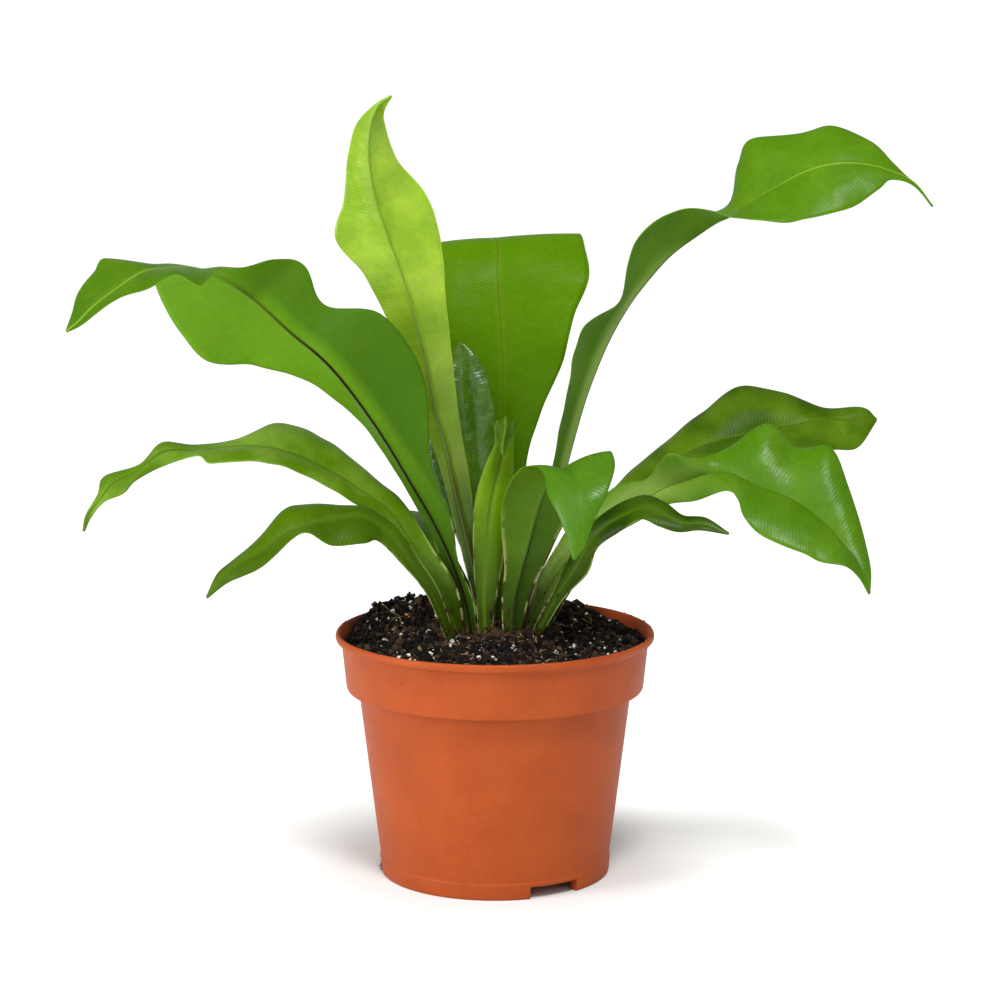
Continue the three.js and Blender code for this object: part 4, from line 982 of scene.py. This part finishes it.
# The pot: its outline turned about the axis. In a notch, points of the foot ring below the notch's
# height are lifted to it, and the turn has a close pair of angles at each side of the notch
def addPot():
    outline = roundCorners(potOutline(), pot["edgeRadius"])
    halfAngle = math.degrees(math.asin(pot["notchWidth"] / 2 / pot["footRadius"]))
    even = np.linspace(-180, 180, pot["sides"], endpoint=False)
    cuts = np.array([bearing + side * halfAngle + step for bearing in pot["notchBearings"]
                     for side in (-1, 1) for step in (-0.02, 0.02)])
    degrees = np.sort(np.concatenate([even, (cuts + 180) % 360 - 180]))
    turn = np.radians(degrees)
    radius, height = outline[:, :1], np.repeat(outline[:, 1:], len(turn), axis=1)
    for bearing in pot["notchBearings"]:
        away = np.abs((degrees - bearing + 180) % 360 - 180)
        low = (radius > pot["footRadius"] - pot["notchDepth"]) & (height < pot["notchHeight"])
        height = np.where((away < halfAngle) & low, pot["notchHeight"], height)
    rings = np.stack([radius * np.cos(turn), radius * np.sin(turn), height], axis=-1)
    points, groups = closedRings(rings, [[0, 0, pot["floorUnderside"]], [0, 0, pot["floorTop"]]])
    addPiece("pot_shell", points, groups, plasticMaterial(), ["pot"], creaseDegrees=40)

    # Crumbs spilt on the lip
    random = np.random.default_rng(spilt["seed"])
    turn = random.uniform(0, 2 * math.pi, spilt["count"])
    inner, outer = (pot["lipRadius"] - away for away in spilt["fromRim"])
    across = random.uniform(inner, outer, len(turn))
    places = np.stack([across * np.cos(turn), across * np.sin(turn), np.full(len(turn), pot["height"])],
                      axis=-1)
    sizes = random.uniform(*spilt["sizes"], len(turn))
    points, faces, shade = crumbField(places, sizes, spilt["stretch"], random)
    addPiece("spilt_crumbs", points, [faces], grainyMaterial(peat),
             values={"shade": shade}, creaseDegrees=30)

    # Fine roots that have grown out of the notch at the left: each leaves the foot at a random height and
    # sinks by the square of its reach
    count, share = notchRoots["count"], np.linspace(0, 1, notchRoots["points"])
    bearing = math.radians(pot["notchBearings"][notchRoots["notch"]])
    bearing = bearing + random.uniform(-notchRoots["spread"], notchRoots["spread"], count)[:, None]
    height = random.uniform(*notchRoots["heights"], count)[:, None]
    reach = share * random.uniform(*notchRoots["lengths"], count)[:, None]
    heading = bearing + random.uniform(-notchRoots["bend"], notchRoots["bend"], count)[:, None] * share
    start = pot["footRadius"] - notchRoots["fromFoot"]
    x = start * np.cos(bearing) + reach * np.cos(heading)
    y = start * np.sin(bearing) + reach * np.sin(heading)
    z = np.maximum(notchRoots["lowest"], height - notchRoots["sag"] * reach**2)
    points, groups = strandField(np.stack([x, y, z], axis=-1), notchRoots["radius"])
    addPiece("notch_roots", points, groups, grainyMaterial(bark),
             values={"shade": np.full(len(points), notchRoots["shade"])})


addPot()
print("stage: pot turned")

# Floor, light and camera

# Places and fades in mm about the pot's axis, angles in degrees. The floor's half width is in metres, so
# large that its far edge is the horizon
studio = {
    "sky": 0.42, "floorHalf": 900, "floorGlow": 0.5, "glowFade": (46, 125),
    "suns": [{"strength": 1.15, "spread": 70, "turn": -40, "tilt": 50},
             {"strength": 0.25, "spread": 80, "turn": 45, "tilt": 50}],
    "boxes": [{"power": 11, "size": 0.3, "place": (120, -670, 1190)},
              {"power": 7, "size": 0.4, "place": (-1000, -480, 400)}],
    "boxesFace": (0, 0, 150),
    "cameraPlace": (1.9, -1102, 331.8), "cameraPitch": 9.76, "lens": 107.64, "sensor": 36,
}


# Matt white card that glows to a blank white. The glow fades out towards the pot, which leaves a soft
# shadow round it: the pot's cast shadow, deepened by painted shadow where the glow is gone
def cardMaterial():
    material, tree, shader = newMaterial("card, matt white", 0.9, 1.45, 0.1)
    shader.inputs["Base Color"].default_value = linearColour("#e0e1e0")
    shader.inputs["Emission Color"].default_value = (1, 1, 1, 1)
    place = addNode(tree, "TexCoord").outputs["Object"]
    away = addNode(tree, "VectorMath", {1: inFrame([0, 0, 0]).tolist()}, {0: place}, operation="DISTANCE")
    near, far = (distance / 1000 for distance in studio["glowFade"])
    glow = addNode(tree, "MapRange", {"From Min": near, "From Max": far, "To Max": studio["floorGlow"]},
                   {"Value": away.outputs["Value"]}, interpolation_type="SMOOTHSTEP")
    tree.links.new(glow.outputs["Result"], shader.inputs["Emission Strength"])
    return material


half = studio["floorHalf"]
card = bpy.data.meshes.new("floor")
card.from_pydata([(-half, -half, 0), (half, -half, 0), (half, half, 0), (-half, half, 0)], [], [(0, 1, 2, 3)])
card.materials.append(cardMaterial())
floor = bpy.data.objects.new("floor", card)
bpy.context.collection.objects.link(floor)

world = bpy.data.worlds.new("studio")
world.use_nodes = True
world.node_tree.nodes["Background"].inputs["Color"].default_value = (1, 1, 1, 1)
world.node_tree.nodes["Background"].inputs["Strength"].default_value = studio["sky"]
bpy.context.scene.world = world

for sun in studio["suns"]:
    light = bpy.data.lights.new("broad light", "SUN")
    light.energy, light.angle = sun["strength"], math.radians(sun["spread"])
    lamp = bpy.data.objects.new("broad light", light)
    lamp.rotation_euler = (math.radians(sun["tilt"]), 0, math.radians(sun["turn"]))
    bpy.context.collection.objects.link(lamp)

# Softboxes face the middle of the plant and give the leaves their gloss: one high in front and one low
# at the left
for box in studio["boxes"]:
    light = bpy.data.lights.new("softbox", "AREA")
    light.energy, light.size = box["power"], box["size"]
    lamp = bpy.data.objects.new("softbox", light)
    lamp.location = inFrame(box["place"]).tolist()
    away = Vector(box["place"]) - Vector(studio["boxesFace"])
    lamp.rotation_euler = away.to_track_quat("Z", "Y").to_euler()
    bpy.context.collection.objects.link(lamp)

lens = bpy.data.cameras.new("camera")
lens.lens, lens.sensor_width = studio["lens"], studio["sensor"]
lens.clip_start, lens.clip_end = 0.01, 3000
camera = bpy.data.objects.new("camera", lens)
camera.location = inFrame(studio["cameraPlace"]).tolist()
camera.rotation_euler = (math.radians(90 - studio["cameraPitch"]), 0, 0)
bpy.context.collection.objects.link(camera)
bpy.context.scene.camera = camera

bpy.context.scene.view_settings.view_transform = "Standard"
bpy.context.scene.view_settings.look = "None"
print("stage: floor, light and camera set")
